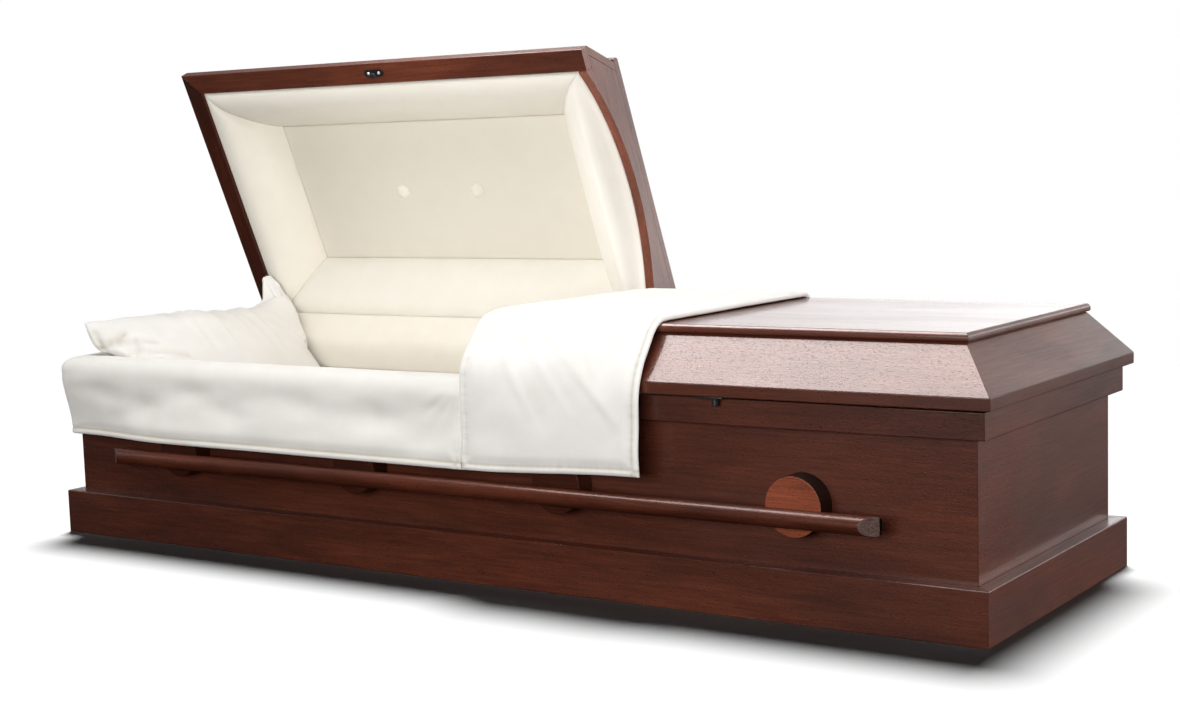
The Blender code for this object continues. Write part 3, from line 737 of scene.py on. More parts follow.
def throwDepth(u, v):
    return quiltedDepth(min(throwEdges(u, v)), throw["depth"])


def throwSeams(u, v):
    left, right, hem, rear = throwEdges(u, v)
    dark, light = throw["lineShades"]
    # Painted shade along the sewn groove: strong at the right, hem and rear, faint at the left
    line = max(dark * besideSeam("line", right, hem, rear), light * besideSeam("line", left))
    return besideSeam("puckers", hem, rear), besideSeam("puckers", left, right), line


# Stitches along tracks on the throw, each lying on the outside of the cloth
def buildStitches(tracks):
    shape = bmesh.new()
    length, girth = throw["stitch"]
    step = throw["stitchFeel"]
    for a, b in (pair for track in tracks for pair in zip(track, track[1:])):
        u, v = (a[0] + b[0]) / 2, (a[1] + b[1]) / 2
        ahead = (throwPlace(*b) - throwPlace(*a)).normalized()
        du = throwPlace(u + step, v) - throwPlace(u - step, v)
        dv = throwPlace(u, v + step) - throwPlace(u, v - step)
        out = dv.cross(du).normalized()
        out = (out - ahead * out.dot(ahead)).normalized()
        turn = Matrix((ahead, ahead.cross(out), out)).transposed().to_4x4()
        spot = Matrix.Translation(throwPlace(u, v) + out * (throwDepth(u, v) / 2))
        size = Matrix.Diagonal((length / 2, girth / 2, girth / 2, 1.0))
        bmesh.ops.create_icosphere(shape, subdivisions=1, radius=1.0, matrix=spot @ turn @ size)
    return addPiece("throwStitches", shape, "foot_lid", cloth["thread"], "bedding")


def buildThrow():
    throw["lines"] = [softLine(throw[key]) for key in ("left", "right")]
    throw["length"] = (throw["lines"][0][1][-1] + throw["lines"][1][1][-1]) / 2
    columns, rows = (stations(throw[key], throw["step"]) for key in ("width", "length"))
    shape = quilt(columns, rows, throwPlace, throwDepth, throwSeams)
    piece = addPiece("throwCover", shape, "foot_lid", cloth["throw"], "bedding", "throw")
    pitch = throw["stitchPitch"]
    right, low = throw["width"] - edging["sewn"], throw["length"] - edging["sewn"]
    first = throw["firstStitch"]
    down = [(right, v * pitch) for v in range(first, int(low / pitch))]
    hem = [(u * pitch, low) for u in range(first, int(right / pitch))]
    stitches = buildStitches((down, hem))


# The bedding turned out over the rim: its section as (distance in from the plinth, z)
apron = {
    "section": [(0.0655, 0.296), (0.0655, 0.323), (0.0645, 0.348), (0.058, 0.365), (0.044, 0.371),
                (0.027, 0.3712), (0.0115, 0.3665), (0.001, 0.353), (-0.0025, 0.333),
                (-0.0025, 0.308), (-0.003, 0.285), (-0.004, 0.26), (-0.005, 0.235),
                (-0.006, 0.213)],
    "hemOut": -0.0225,
    "hemIn": 0.0075,
    "hemTurn": (-0.7, -0.985),
    "hemFall": (0.335, 0.222),
    "hemReach": 0.006,
    "corner": 0.022,
    "cornerWidth": 0.042,
    "cornerDraw": (0.0045, 0.36, 0.013),
    "cornerRise": (0.0022, 0.368, 0.012),
    "cornerThin": 0.0068,
    "splitX": 0.0493,
    "rearY": 0.255,
    "hangs": (0.5, 0.62),
    "settles": (0.93, 1.0),
    "settledShare": 0.7,
    "outside": 0.45,
    "dents": [(0.822, 0.282, 0.0105), (0.21, 0.29, 0.01), (0.575, 0.278, 0.006),
              (0.385, 0.312, 0.0045), (0.95, 0.305, 0.006), (0.69, 0.32, 0.0045),
              (0.095, 0.262, 0.005)],
    "dentSize": (0.052, 0.026),
    "foldsAt": (0.004, 0.374),
    "foldsReach": 0.16,
    "folds": [(0.5, 0.0028), (0.8, 0.0022), (1.12, 0.0018)],
    "foldsFrom": (0.0, 0.03),
    "foldsTo": (0.06, 0.15),
    "foldWidth": (0.004, 0.07),
    "depth": 0.012,
    "topSewn": 0.006,
    "seamShares": (0.25, 0.4),
    "ripple": 0.0034,
    "waves": [(1.0, 5.0, 5.0, 11.0), (0.45, 13.0, 9.0, 5.0)],
    "topSwell": 0.0012,
    "topRun": (0.55, 0.7),
    "step": 0.0052,
}


def apronPlan(u, inward):
    # Along the front from the split, round the head corner, then across the head end
    corner, start = apron["corner"], apron["splitX"]
    front, arc = start + hull["halfLength"] - corner, corner * quarter
    centre = Vector((inward + corner - hull["halfLength"], inward + corner - hull["halfWidth"]))
    if u <= front:
        return Vector((start + (centre.x - start) * u / front, centre.y - corner)), Vector((0, -1))
    if u <= front + arc:
        angle = (u - front) / corner
        out = Vector((-math.sin(angle), -math.cos(angle)))
        return centre + out * corner, out
    share = (u - front - arc) / (apron["run"] - front - arc)
    return (Vector((centre.x - corner, centre.y + (apron["rearY"] - centre.y) * share)),
            Vector((-1, 0)))


def cornerShare(u):
    # The cloth is drawn thin and tight over the sharp corner of the rim
    front = apron["splitX"] + hull["halfLength"] - apron["corner"]
    return hump(u - front - apron["corner"] * quarter / 2, apron["cornerWidth"])


def apronPlace(u, v):
    share, drawn = v / apron["length"], cornerShare(u)
    inward, z = along(apron["line"], share)
    low = ease(*apron["hemFall"], z) if share > apron["outside"] else 0.0
    turned = ease(*apron["hemTurn"], apron["splitX"] - u)
    hem = apron["hemOut"] + (apron["hemIn"] - apron["hemOut"]) * turned
    inward += (hem + apron["hemReach"]) * low
    size, level, width = apron["cornerDraw"]
    inward -= size * drawn * hump(z - level, width)
    size, level, width = apron["cornerRise"]
    z += size * drawn * hump(z - level, width)
    spot, out = apronPlan(u, inward)
    settled = apron["settledShare"] * ease(*apron["settles"], share)
    hanging = ease(*apron["hangs"], share) * (1 - settled)
    lift = apron["ripple"] * rippled(u, share, apron["waves"]) * hanging
    wide, tall = apron["dentSize"]
    for place, level, size in apron["dents"]:
        lift -= size * hump(u - place, wide) * hump(z - level, tall) * hanging
    # Folds that run down from under the throw's edge
    fromX, fromZ = u - apron["foldsAt"][0], z - apron["foldsAt"][1]
    reach = math.hypot(fromX, fromZ)
    if share > apron["hangs"][0] and reach < apron["foldsReach"]:
        angle = math.atan2(-fromZ, fromX)
        folded = ease(*apron["foldsFrom"], reach) * (1 - ease(*apron["foldsTo"], reach))
        narrow, widening = apron["foldWidth"]
        for lean, size in apron["folds"]:
            lift += size * hump((angle - lean) * reach, narrow + widening * reach) * folded
    rise = apron["topSwell"] * softNoise(u * 6.0, 3.0) * (1 - ease(*apron["topRun"], share))
    flat = spot + out * lift * (1 - drawn)
    return Vector((flat.x, flat.y, z + rise))


def apronDepth(u, v):
    depth = apron["depth"]
    hem, end = (quiltedDepth(d, depth) for d in (apron["length"] - v, min(u, apron["run"] - u)))
    top = quiltedDepth(v, depth, apron["topSewn"])
    return min(hem, end, top, depth - apron["cornerThin"] * cornerShare(u))


def apronSeams(u, v):
    low, ends = apron["length"] - v, min(u, apron["run"] - u)
    hemShare, endShare = apron["seamShares"]
    # The last value is painted shade along the hem's sewn groove
    return (besideSeam("puckers", low) * hemShare, besideSeam("puckers", ends) * endShare,
            besideSeam("line", low))


def buildApron():
    apron["line"] = softLine(apron["section"])
    apron["length"] = apron["line"][1][-1]
    corner = apron["corner"]
    apron["run"] = (apron["splitX"] + hull["halfLength"] - corner + corner * quarter
                    + apron["rearY"] + hull["halfWidth"] - corner)
    columns = stations(apron["run"], apron["step"])
    rows = stations(apron["length"], apron["step"], hemFirst=False)
    shape = quilt(columns, rows, apronPlace, apronDepth, apronSeams)
    piece = addPiece("apronCover", shape, "root", cloth["bedding"], "bedding", "apron")
    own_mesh(piece)


# The lid's lining: puffed rolls mitred round a flat panel with two covered buttons
rolls = {
    "outer": 0.0365,
    "face": [(0.0, 0.3745), (0.006, 0.3695), (0.014, 0.3668), (0.027, 0.366), (0.043, 0.3695),
             (0.063, 0.3815), (0.083, 0.399), (0.101, 0.4205), (0.113, 0.439),
             (0.119, 0.451), (0.1212, 0.459)],
    "back": [(0.1212, 0.4653), (0.0435, 0.4653), (0.0, 0.414)],
    "faceRows": 30,
    "steps": {"front": 96, "rear": 96, "head": 60, "split": 60},
    "bunched": 0.6,
    "pinch": 0.005,
    "pinchWidth": 0.012,
    "swell": 0.0016,
    "archSpan": 0.285,
    "archRise": 0.07,
    "archFoot": 0.368,
    "archGap": 0.0035,
    "archLap": 0.004,
    "archReach": 0.024,
}


# The height of the arch cut in the head lid's end board
def archHeight(y):
    span, rise, foot = (rolls[key] for key in ("archSpan", "archRise", "archFoot"))
    radius = (span ** 2 + rise ** 2) / (2 * rise)
    return foot if abs(y) >= span else foot + rise - radius + math.sqrt(radius ** 2 - y ** 2)


def rollRows():
    line = softLine(rolls["face"])
    face = [(share, *along(line, share)) for share in spaced(0.0, 1.0, rolls["faceRows"])]
    return face + [(1.0, *p) for p in rolls["back"]] + [face[0]]


def buildRoll(side):
    rows, steps = rollRows(), rolls["steps"][side]
    bunched = rolls["bunched"]
    columns = [bunched * (0.5 - 0.5 * math.cos(math.pi * s)) + (1 - bunched) * s
               for s in spaced(0.0, 1.0, steps)]
    half, end = hull["halfWidth"], hull["halfLength"]

    def place(s, index):
        share, width, z = rows[index]
        inward = rolls["outer"] + width
        low, high = -half + inward, half - inward
        if side in ("front", "rear"):
            low, high = -end + inward, hull["splitFace"] - width
        run = low + (high - low) * s
        faced = index <= rolls["faceRows"]
        crown = math.sin(math.pi * clamped(share, 0.0, 1.0)) if faced else 0.0
        near = min(s, 1 - s) * (high - low)
        z += rolls["pinch"] * hump(near, rolls["pinchWidth"]) * crown
        z += rolls["swell"] * softNoise(run * 5.0, share * 2.5, 3.0 + len(side)) * crown
        if side == "split":
            under = archHeight(run) - rolls["archGap"]
            if faced:
                z += max(0.0, under - z) * (1 - ease(0.0, rolls["archReach"], width))
            if index == len(rows) - 1:
                z = max(rows[0][2], under)
            if index == len(rows) - 2:
                z = max(z, archHeight(run) + rolls["archLap"])
            return Vector((hull["splitFace"] - width, run, z))
        if side == "head":
            return Vector((-end + inward, run, z))
        return Vector((run, (-half + inward) * (1 if side == "front" else -1), z))

    shape = tubeFrom(columns, list(range(len(rows))), place)
    shape.transform(lidOpen)
    # The split roll takes the lit copy of the cloth, the rear roll the shaded copy
    kind = {"split": "litSplitRoll", "rear": "shadedRearRoll"}.get(side, "roll")
    piece = addPiece(f"liningRoll-{side}", shape, "head_lid", cloth[kind], "lining",
                     f"lining_roll_{side}")


panel = {
    "lowX": -0.8822,
    "highX": -0.0938,
    "halfY": 0.1672,
    "face": 0.4575,
    "back": 0.4652,
    "steps": (150, 64),
    "crown": 0.0035,
    "swell": 0.0007,
    "buttons": (-0.588, -0.379),
    "buttonRadius": 0.018,
    "buttonRise": 0.0125,
    "buttonSunk": 0.0004,
    "buttonShape": [(0.0, 1.0), (0.3, 0.97), (0.62, 0.84), (0.86, 0.58), (0.97, 0.28), (1.0, 0.0),
                    (0.93, -0.22), (0.8, -0.3), (0.0, -0.3)],
    "dimple": 0.005,
    "dimpleWidth": 0.02,
}


# How far a spot lies from a flat panel's rim: one in the middle, none at the rim
def panelShare(values, x, y, powerX, powerY):
    middle, half = (values["highX"] + values["lowX"]) / 2, (values["highX"] - values["lowX"]) / 2
    return (max(0.0, 1 - abs((x - middle) / half) ** powerX)
            * max(0.0, 1 - abs(y / values["halfY"]) ** powerY))


def panelFace(x, y):
    across = panelShare(panel, x, y, 5, 5)
    z = panel["face"] - panel["crown"] * across
    z += panel["swell"] * softNoise(x * 7.0, y * 9.0, 4.0) * across
    for place in panel["buttons"]:
        z += panel["dimple"] * hump(math.hypot(x - place, y), panel["dimpleWidth"])
    return z


def backedPanel(values, face):
    columns = spaced(values["lowX"], values["highX"], values["steps"][0])
    rows = spaced(-values["halfY"], values["halfY"], values["steps"][1])
    shape = laidGrid(columns, rows, lambda x, y: Vector((x, y, face(x, y))))[0]
    for vert in vertsOf(bmesh.ops.extrude_face_region(shape, geom=shape.faces[:])):
        vert.co.z = values["back"]
    bmesh.ops.recalc_face_normals(shape, faces=shape.faces)
    return shape


def buildPanel():
    shape = backedPanel(panel, panelFace)
    shape.transform(lidOpen)
    piece = addPiece("liningPanel", shape, "head_lid", cloth["panel"], "lining", "lining_panel")
    profile = [(r * panel["buttonRadius"], z * panel["buttonRise"]) for r, z in panel["buttonShape"]]
    for number, x in enumerate(panel["buttons"], start=1):
        place = Matrix.Translation((x, 0, panelFace(x, 0) + panel["buttonSunk"]))
        shape = spunPart(profile, 40, lidOpen @ place @ Matrix.Rotation(math.pi, 4, "X"))
        addPiece(f"liningButton-{number}", shape, "head_lid", cloth["roll"], "lining",
                 f"lining_button_{number}")


footPanel = {
    "lowX": 0.0775,
    "highX": 0.9635,
    "halfY": 0.2485,
    "back": 0.4652,
    "rim": 0.0005,
    "depth": 0.0092,
    "steps": (110, 60),
}


def footPanelFace(x, y):
    depth = footPanel["depth"] * panelShare(footPanel, x, y, 14, 10) ** 0.5
    return footPanel["back"] - footPanel["rim"] - depth


def buildFootPanel():
    shape = backedPanel(footPanel, footPanelFace)
    piece = addPiece("footLidPanel", shape, "foot_lid", cloth["panel"], "lining", "foot_lid_lining")


# The cloth inside the box: lined walls, the bed and the strip up to the open lid
inside = {
    "wallSection": [(0.0463, 0.0184), (0.0463, 0.348), (0.047, 0.357), (0.05, 0.3608),
                    (0.0545, 0.3618), (0.0585, 0.36), (0.0604, 0.355), (0.0608, 0.34),
                    (0.0608, 0.3), (0.0606, 0.26), (0.0604, 0.22), (0.06, 0.12),
                    (0.0594, 0.0184), (0.0463, 0.0184)],
    "corner": 0.011,
    "straight": 0.8,
    "turnSteps": (40, 6),
    "bedHalf": (0.9777, 0.2627),
    "bedLow": 0.0184,
    "bedTop": 0.224,
    "bedEdge": 0.024,
    "bedCells": 28,
    "cover": [(0.263, 0.295), (0.2634, 0.325), (0.264, 0.348), (0.268, 0.364), (0.2765, 0.3735),
              (0.287, 0.384), (0.296, 0.395), (0.303, 0.406), (0.3075, 0.416)],
    "coverRun": (-0.966, 0.024),
    "coverDepth": 0.0034,
    "coverCells": (120, 22),
    "swell": 0.0012,
    "swellFrom": (0.0585, 0.06),
    "bedSwell": (0.0035, 0.0025),
    "bedSoft": 0.03,
    "coverSwell": 0.0011,
}


# One turn round the box at a distance in from the plinth's outer lines
def roundedPlan(share, inward):
    corner = inside["corner"]
    halfX, halfY = hull["halfLength"] - inward, hull["halfWidth"] - inward
    leg, rest = int(share * 4) % 4, (share * 4) % 1
    start = Vector(((halfX - corner, -halfY), (-halfX, -halfY + corner), (-halfX + corner, halfY),
                    (halfX, halfY - corner))[leg])
    ahead = Vector(((-1, 0), (0, 1), (1, 0), (0, -1))[leg])
    length = 2 * ((halfX, halfY)[leg % 2] - corner)
    straight = inside["straight"]
    if rest <= straight:
        return start + ahead * length * rest / straight
    side = Vector((-ahead.y, ahead.x))
    angle = (rest - straight) / (1 - straight) * quarter
    return start + ahead * (length + corner * math.sin(angle)) + side * corner * (1 - math.cos(angle))


def buildWallCloth():
    rows, straight = inside["wallSection"], inside["straight"]
    sideSteps, cornerSteps = inside["turnSteps"]
    parts = spaced(0.0, straight, sideSteps)[:-1] + spaced(straight, 1.0, cornerSteps)[:-1]
    columns = [(leg + part) / 4 for leg in range(4) for part in parts] + [1.0]

    def place(share, index):
        inward, z = rows[index]
        spot = roundedPlan(share, inward)
        swell = inside["swell"] * softNoise(spot.x * 4.0, z * 8.0, 9.0 + spot.y * 3.0)
        spot = roundedPlan(share, inward + ease(*inside["swellFrom"], inward) * swell)
        return Vector((spot.x, spot.y, z))

    shape = tubeFrom(columns, list(range(len(rows))), place)
    piece = addPiece("wallCloth", shape, "root", cloth["wall"], "lining", "wall_lining")


def buildMattress():
    halfX, halfY = inside["bedHalf"]
    top, (swell, sink) = inside["bedTop"], inside["bedSwell"]
    shape = blockBetween((-halfX, -halfY, inside["bedLow"]), (halfX, halfY, top))
    easeEdges(shape, shape.edges[:], inside["bedEdge"], 5)
    longEdges = [e for e in shape.edges if e.calc_length() > inside["bedTop"] / 2]
    bmesh.ops.subdivide_edges(shape, edges=longEdges, cuts=inside["bedCells"], use_grid_fill=True)
    for vert in shape.verts:
        wave = swell * softNoise(vert.co.x * 5.0, vert.co.y * 6.0, 1.0) - sink
        vert.co.z += ease(top - inside["bedSoft"], top, vert.co.z) * wave
    piece = addPiece("mattressBed", shape, "root", cloth["bed"], "bedding", "mattress")


def buildHingeStrip():
    line = softLine(inside["cover"])
    low, high = inside["coverRun"]
    runCells, wideCells = inside["coverCells"]

    def cover(x, share):
        y, z = along(line, share)
        out = outwardOf(line, share, 0.02)
        swell = inside["coverSwell"] * softNoise(x * 6.0, share * 3.0, 6.0) * math.sin(math.pi * share)
        return Vector((x, y + out[0] * swell, z + out[1] * swell))

    def coverDepth(x, share):
        edge = min(x - low, high - x, share * line[1][-1], (1 - share) * line[1][-1])
        return inside["coverDepth"] * (0.25 + 0.75 * ease(0.0, 0.004, edge))

    shape = quilt(spaced(low, high, runCells), spaced(0.0, 1.0, wideCells), cover, coverDepth)
    piece = addPiece("hingeStrip", shape, None, cloth["wall"], "lining", "hinge_cover")
    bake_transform(piece)


# The corner of the bedding that the open lid draws up beside the hinge
gusset = {
    "reach": [(120.5, 0.064, -0.933), (121.5, 0.09, -0.942), (119.0, 0.113, -0.95),
              (116.5, 0.13, -0.957), (114.5, 0.148, -0.967), (114.0, 0.159, -0.973),
              (116.5, 0.164, -0.979), (120.5, 0.161, -0.983), (124.5, 0.1525, -0.985),
              (128.5, 0.139, -0.986), (134.0, 0.1265, -0.987), (142.0, 0.133, -0.988),
              (148.0, 0.14, -0.989), (155.0, 0.138, -0.99)],
    "centre": (136.0, 0.06),
    "start": 0.06,
    "swell": 0.012,
    "crease": (0.27, 0.05, 0.009),
    "creaseFrom": (0.35, 0.7),
    "depth": 0.0085,
    "edge": 0.006,
}


def turnedOut(angle, radius):
    return Vector((math.cos(math.radians(angle)), math.sin(math.radians(angle)))) * radius


def buildGusset():
    reach = softLine(gusset["reach"])

    def place(turn, share):
        angle, radius, x = along(reach, turn)
        out = gusset["start"] + (1 - gusset["start"]) * share
        spot = turnedOut(*gusset["centre"]).lerp(turnedOut(angle, radius), out)
        crease, width, size = gusset["crease"]
        fold = gusset["swell"] * math.sin(math.pi * share)
        fold -= size * hump(turn - crease, width) * ease(*gusset["creaseFrom"], share)
        return Vector((x + fold, hull["hingeY"] + spot.x, hull["hingeZ"] + spot.y))

    def depth(turn, share):
        edge = min(turn * 0.12, (1 - turn) * 0.12, (1 - share) * 0.14, share * 0.14 + 0.002)
        rounded = 1 - (1 - min(1.0, edge / gusset["edge"])) ** 2
        return gusset["depth"] * max(0.1, math.sqrt(max(0.0, rounded)))

    rows = [0, 0.06, *spaced(0.12, 0.92, 14), 0.95, 0.97, 0.985, 0.995, 1.0]
    columns = [0, 0.006, 0.02, 0.04, *spaced(0.07, 0.93, 22), 0.96, 0.98, 0.994, 1.0]
    shape = quilt(columns, rows, place, depth)
    piece = addPiece("cornerGusset", shape, None, cloth["pillow"], "bedding")
    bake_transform(piece)


# The pillow: two sewn panels, filled by pressure and leaned on the head end
pillow = {
    "width": 0.566,
    "height": 0.35,
    "start": 0.03,
    "cells": 0.008,
    "bowed": (0.02, 0.08),
    "filling": {"quality": 6, "mass": 0.2, "air_damping": 2.0, "tension_stiffness": 12,
                "compression_stiffness": 12, "shear_stiffness": 6, "bending_stiffness": 0.2,
                "tension_damping": 10, "compression_damping": 10, "shear_damping": 10,
                "use_pressure": True, "uniform_pressure_force": 1.5},
    "frames": 36,
    "cap": 0.12,
    "flatten": (0.55, 0.62),
    "seamFrom": 0.49,
    "seamReach": 0.75,
    "seamDrop": 0.004,
    "foot": (-0.765, 0.236),
    "top": (-0.978, 0.447),
    "middleY": -0.012,
    "headFace": -0.978,
    "halfSpan": 0.26,
    "flareRun": (0.38, 0.425),
    "flare": (0.022, 0.03),
    "bedTop": 0.2262,
    "drawn": [((-1.0, -0.2896, 0.4443), 0.085), ((-0.984, -0.262, 0.411), 0.05),
              ((-0.974, -0.272, 0.384), 0.045), ((-0.969, 0.29, 0.459), 0.048),
              ((-0.926, 0.28, 0.416), 0.055), ((-0.882, 0.262, 0.3735), 0.055),
              ((-0.83, 0.234, 0.32), 0.06)],
    "apronTop": 0.3795,
    "apronTuck": 0.008,
    "apronInner": (-0.974, 0.258),
    "smoothFrom": 0.425,
    "crestRun": (0.385, 0.44),
    "crest": [(-0.289, 0.0085), (-0.277, 0.0088), (-0.26, 0.0082), (-0.238, 0.0045), (-0.215, 0.003),
              (-0.19, 0.0), (-0.141, 0.003), (-0.067, 0.0088), (-0.012, 0.0026), (0.037, -0.0073),
              (0.08, -0.0085), (0.12, -0.013), (0.176, -0.01), (0.217, -0.005), (0.243, 0.0),
              (0.274, 0.0065)],
    "creases": [
        (0.013, [(-0.934, -0.244, 0.418), (-0.939, -0.257, 0.406), (-0.952, -0.268, 0.397),
                  (-0.965, -0.278, 0.39)]),
        (0.007, [(-0.978, -0.28, 0.423), (-0.967, -0.276, 0.403), (-0.952, -0.268, 0.398)]),
        (0.0065, [(-0.878, -0.206, 0.402), (-0.904, -0.236, 0.403), (-0.928, -0.256, 0.402)]),
        (0.008, [(-0.949, -0.265, 0.396), (-0.958, -0.256, 0.373)]),
        (0.0055, [(-0.832, -0.155, 0.371), (-0.859, -0.22, 0.384), (-0.903, -0.252, 0.385)]),
    ],
    "creaseWidth": 0.009,
    "creaseShade": 85.0,
}


def awayFrom(spot, start, end):
    run = end - start
    share = clamped((spot - start).dot(run) / run.length_squared, 0.0, 1.0)
    return (spot - start - run * share).length


def crestLift(y):
    marks = pillow["crest"]
    for (low, first), (high, second) in zip(marks, marks[1:]):
        if y <= high:
            return first + (second - first) * clamped((y - low) / (high - low), 0.0, 1.0)
    return marks[-1][1]


def pillowStart():
    shape = bmesh.new()
    across = round(pillow["width"] / pillow["cells"])
    up = round(pillow["height"] / pillow["cells"])
    bmesh.ops.create_grid(shape, x_segments=across, y_segments=up, size=0.5)
    bowX, bowY = pillow["bowed"]
    rise = {}
    for vert in shape.verts:
        x, y = vert.co.x, vert.co.y
        seam = min((0.5 - abs(x)) * pillow["width"], (0.5 - abs(y)) * pillow["height"])
        rise[vert] = pillow["start"] / 2 * ease(0.0, 0.06, seam) if seam > 1e-5 else 0.0
        vert.co.x = x * pillow["width"] * (1 + bowX * (1 - 4 * y * y))
        vert.co.y = y * pillow["height"] * (1 + bowY * (1 - 4 * x * x))
    twins = twinSkin(shape)
    for vert, height in rise.items():
        vert.co.z = height
        twins[vert].co.z = -height
    bmesh.ops.remove_doubles(shape, verts=shape.verts, dist=1e-5)
    bmesh.ops.recalc_face_normals(shape, faces=shape.faces)
    return meshFrom(shape, "pillowStart")


def inflate(piece):
    frames, cap = pillow["frames"], pillow["cap"]
    rest = [v.co.copy() for v in piece.data.vertices]
    filling = piece.modifiers.new("filling", "CLOTH")
    for key, value in pillow["filling"].items():
        setattr(filling.settings, key, value)
    filling.settings.effector_weights.gravity = 0.0
    filling.collision_settings.use_collision = False
    filling.point_cache.frame_start = 1
    filling.point_cache.frame_end = frames
    for step in range(1, frames + 1):
        bpy.context.scene.frame_set(step)
    shown = piece.evaluated_get(bpy.context.evaluated_depsgraph_get())
    swollen = bpy.data.meshes.new_from_object(shown)
    for vert, start in zip(swollen.vertices, rest):
        move = vert.co - start
        if move.length > cap:
            vert.co = start + move * (cap / move.length)
    piece.modifiers.remove(filling)
    piece.data = swollen
    bpy.context.scene.frame_set(1)


def straightenSeam(piece, seam):
    # The upper seam is drawn out level between the two ears
    upper = sorted((piece.data.vertices[i].co.copy() for i in seam), key=lambda spot: spot.x)
    level = max(spot.y for spot in upper)
    reach = pillow["height"] * pillow["seamReach"]

    def seamAt(x):
        for a, b in zip(upper, upper[1:]):
            if a.x <= x <= b.x:
                share = (x - a.x) / max(1e-9, b.x - a.x)
                return a.lerp(b, share)
        return upper[0] if x < upper[0].x else upper[-1]

    for vert in piece.data.vertices:
        here = seamAt(vert.co.x)
        share = ease(-reach, 0.0, vert.co.y - here.y)
        vert.co.y += (level - pillow["seamDrop"] - here.y) * share
        vert.co.z -= here.z * share


# The filled pillow is set on its foot and leaned back, held within the box and the apron
def leanPillow(shape):
    lowY, highY = min(v.co.y for v in shape.verts), max(v.co.y for v in shape.verts)
    foot, head = Vector(pillow["foot"]), Vector(pillow["top"])
    lean = (head - foot).normalized()
    across = Vector((0, 1, 0))
    out = across.cross(Vector((lean[0], 0, lean[1])))
    for vert in shape.verts:
        line = foot.lerp(head, (vert.co.y - lowY) / (highY - lowY))
        spot = Vector((line[0], pillow["middleY"], line[1])) + across * vert.co.x + out * vert.co.z
        spot.z = max(spot.z, pillow["bedTop"])
        flared = ease(*pillow["flareRun"], spot.z)
        spot.x = max(spot.x, pillow["headFace"] - pillow["flare"][0] * flared)
        side = pillow["halfSpan"] + pillow["flare"][1] * flared
        spot.y = clamped(spot.y, -side, side)
        vert.co = spot


# The ears and the upper corners are drawn out to their places, clear of the apron
def drawEars(shape):
    for goal, reach in pillow["drawn"]:
        goal = Vector(goal)
        nearest = min(shape.verts, key=lambda v: (v.co - goal).length).co.copy()
        for vert in shape.verts:
            vert.co += (goal - nearest) * hump((vert.co - nearest).length, reach)
    innerX, innerY = pillow["apronInner"]
    for vert in shape.verts:
        if vert.co.z < pillow["apronTop"] - pillow["apronTuck"]:
            vert.co.x = max(vert.co.x, pillow["headFace"])
            vert.co.y = clamped(vert.co.y, -pillow["halfSpan"], pillow["halfSpan"])
        elif max(innerX - vert.co.x, abs(vert.co.y) - innerY) > 0:
            vert.co.z = max(vert.co.z, pillow["apronTop"])


# Creases pressed into the pillow, each with painted shade along it
def creasePillow(shape):
    shape.normal_update()
    shade = shape.verts.layers.float.new("seamAndCreaseShade")
    width = pillow["creaseWidth"]
    sunk = []
    for depth, line in pillow["creases"]:
        line = [Vector(p) for p in line]
        for vert in shape.verts:
            away = min(awayFrom(vert.co, a, b) for a, b in zip(line, line[1:]))
            if away < 3 * width:
                sunk.append((vert, vert.normal * depth * hump(away, width)))
    for vert, move in sunk:
        vert.co -= move
        vert[shade] = min(1.0, vert[shade] + move.length * pillow["creaseShade"])


def buildPillow():
    piece = addObject("pillowCover", pillowStart())
    edge = pillow["height"] * pillow["seamFrom"]
    seam = [v.index for v in piece.data.vertices if abs(v.co.z) < 1e-6 and v.co.y > edge]
    inflate(piece)
    straightenSeam(piece, seam)
    # The back and the front panel are flattened by their own shares
    for vert in piece.data.vertices:
        vert.co.z *= pillow["flatten"][vert.co.z > 0]
    shape = bmesh.new()
    shape.from_mesh(piece.data)
    leanPillow(shape)
    drawEars(shape)
    upper = [v for v in shape.verts if v.co.z > pillow["smoothFrom"]]
    for step in range(3):
        bmesh.ops.smooth_vert(shape, verts=upper, factor=0.5, use_axis_x=True, use_axis_y=True,
                              use_axis_z=True)
    for vert in shape.verts:
        vert.co.z += crestLift(vert.co.y) * ease(*pillow["crestRun"], vert.co.z)
    bmesh.ops.subdivide_edges(shape, edges=shape.edges, cuts=1, use_grid_fill=True, smooth=1.0)
    creasePillow(shape)
    piece.data = meshFrom(shape, "pillowCover")
    finishPiece(piece, "root", cloth["pillow"], "bedding", "pillow")
    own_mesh(piece)


# Black fittings: the strike plate with its screws, and the latch with its thumb knob.
# Turned pieces are drawn as (radius, height) lines
fittings = {
    "sharp": 40,
    "strikeAt": (-0.485, -0.3125, 0.3677),
    "strikeEnds": (0.0175, 0.008),
    "strikeDepth": 0.0017,
    "cam": [(0.0, -0.0017), (0.0045, -0.0016), (0.006, -0.0008), (0.0066, 0.0012), (0.0, 0.0012)],
    "camAt": (-0.003, 0.0055),
    "screw": [(0.0, -0.0006), (0.00126, -0.0007), (0.001512, -0.0015), (0.0027, -0.0012),
              (0.0036, 0.0002), (0.0036, 0.0008), (0.0, 0.0008)],
    "screwX": 0.014,
    "latchLow": (0.529, -0.333, 0.3646),
    "latchHigh": (0.584, -0.3198, 0.3677),
    "latchEdge": 0.0005,
    "knobAt": (0.568, -0.3264),
    "knob": [(0.0, 0.0008), (0.0052, 0.0008), (0.0052, -0.0014), (0.0065, -0.0022), (0.0065, -0.011),
             (0.0055, -0.012), (0.0, -0.012)],
    "knurlFrom": 0.00585,
    "knurls": 36,
    "knurlDepth": 0.035,
}


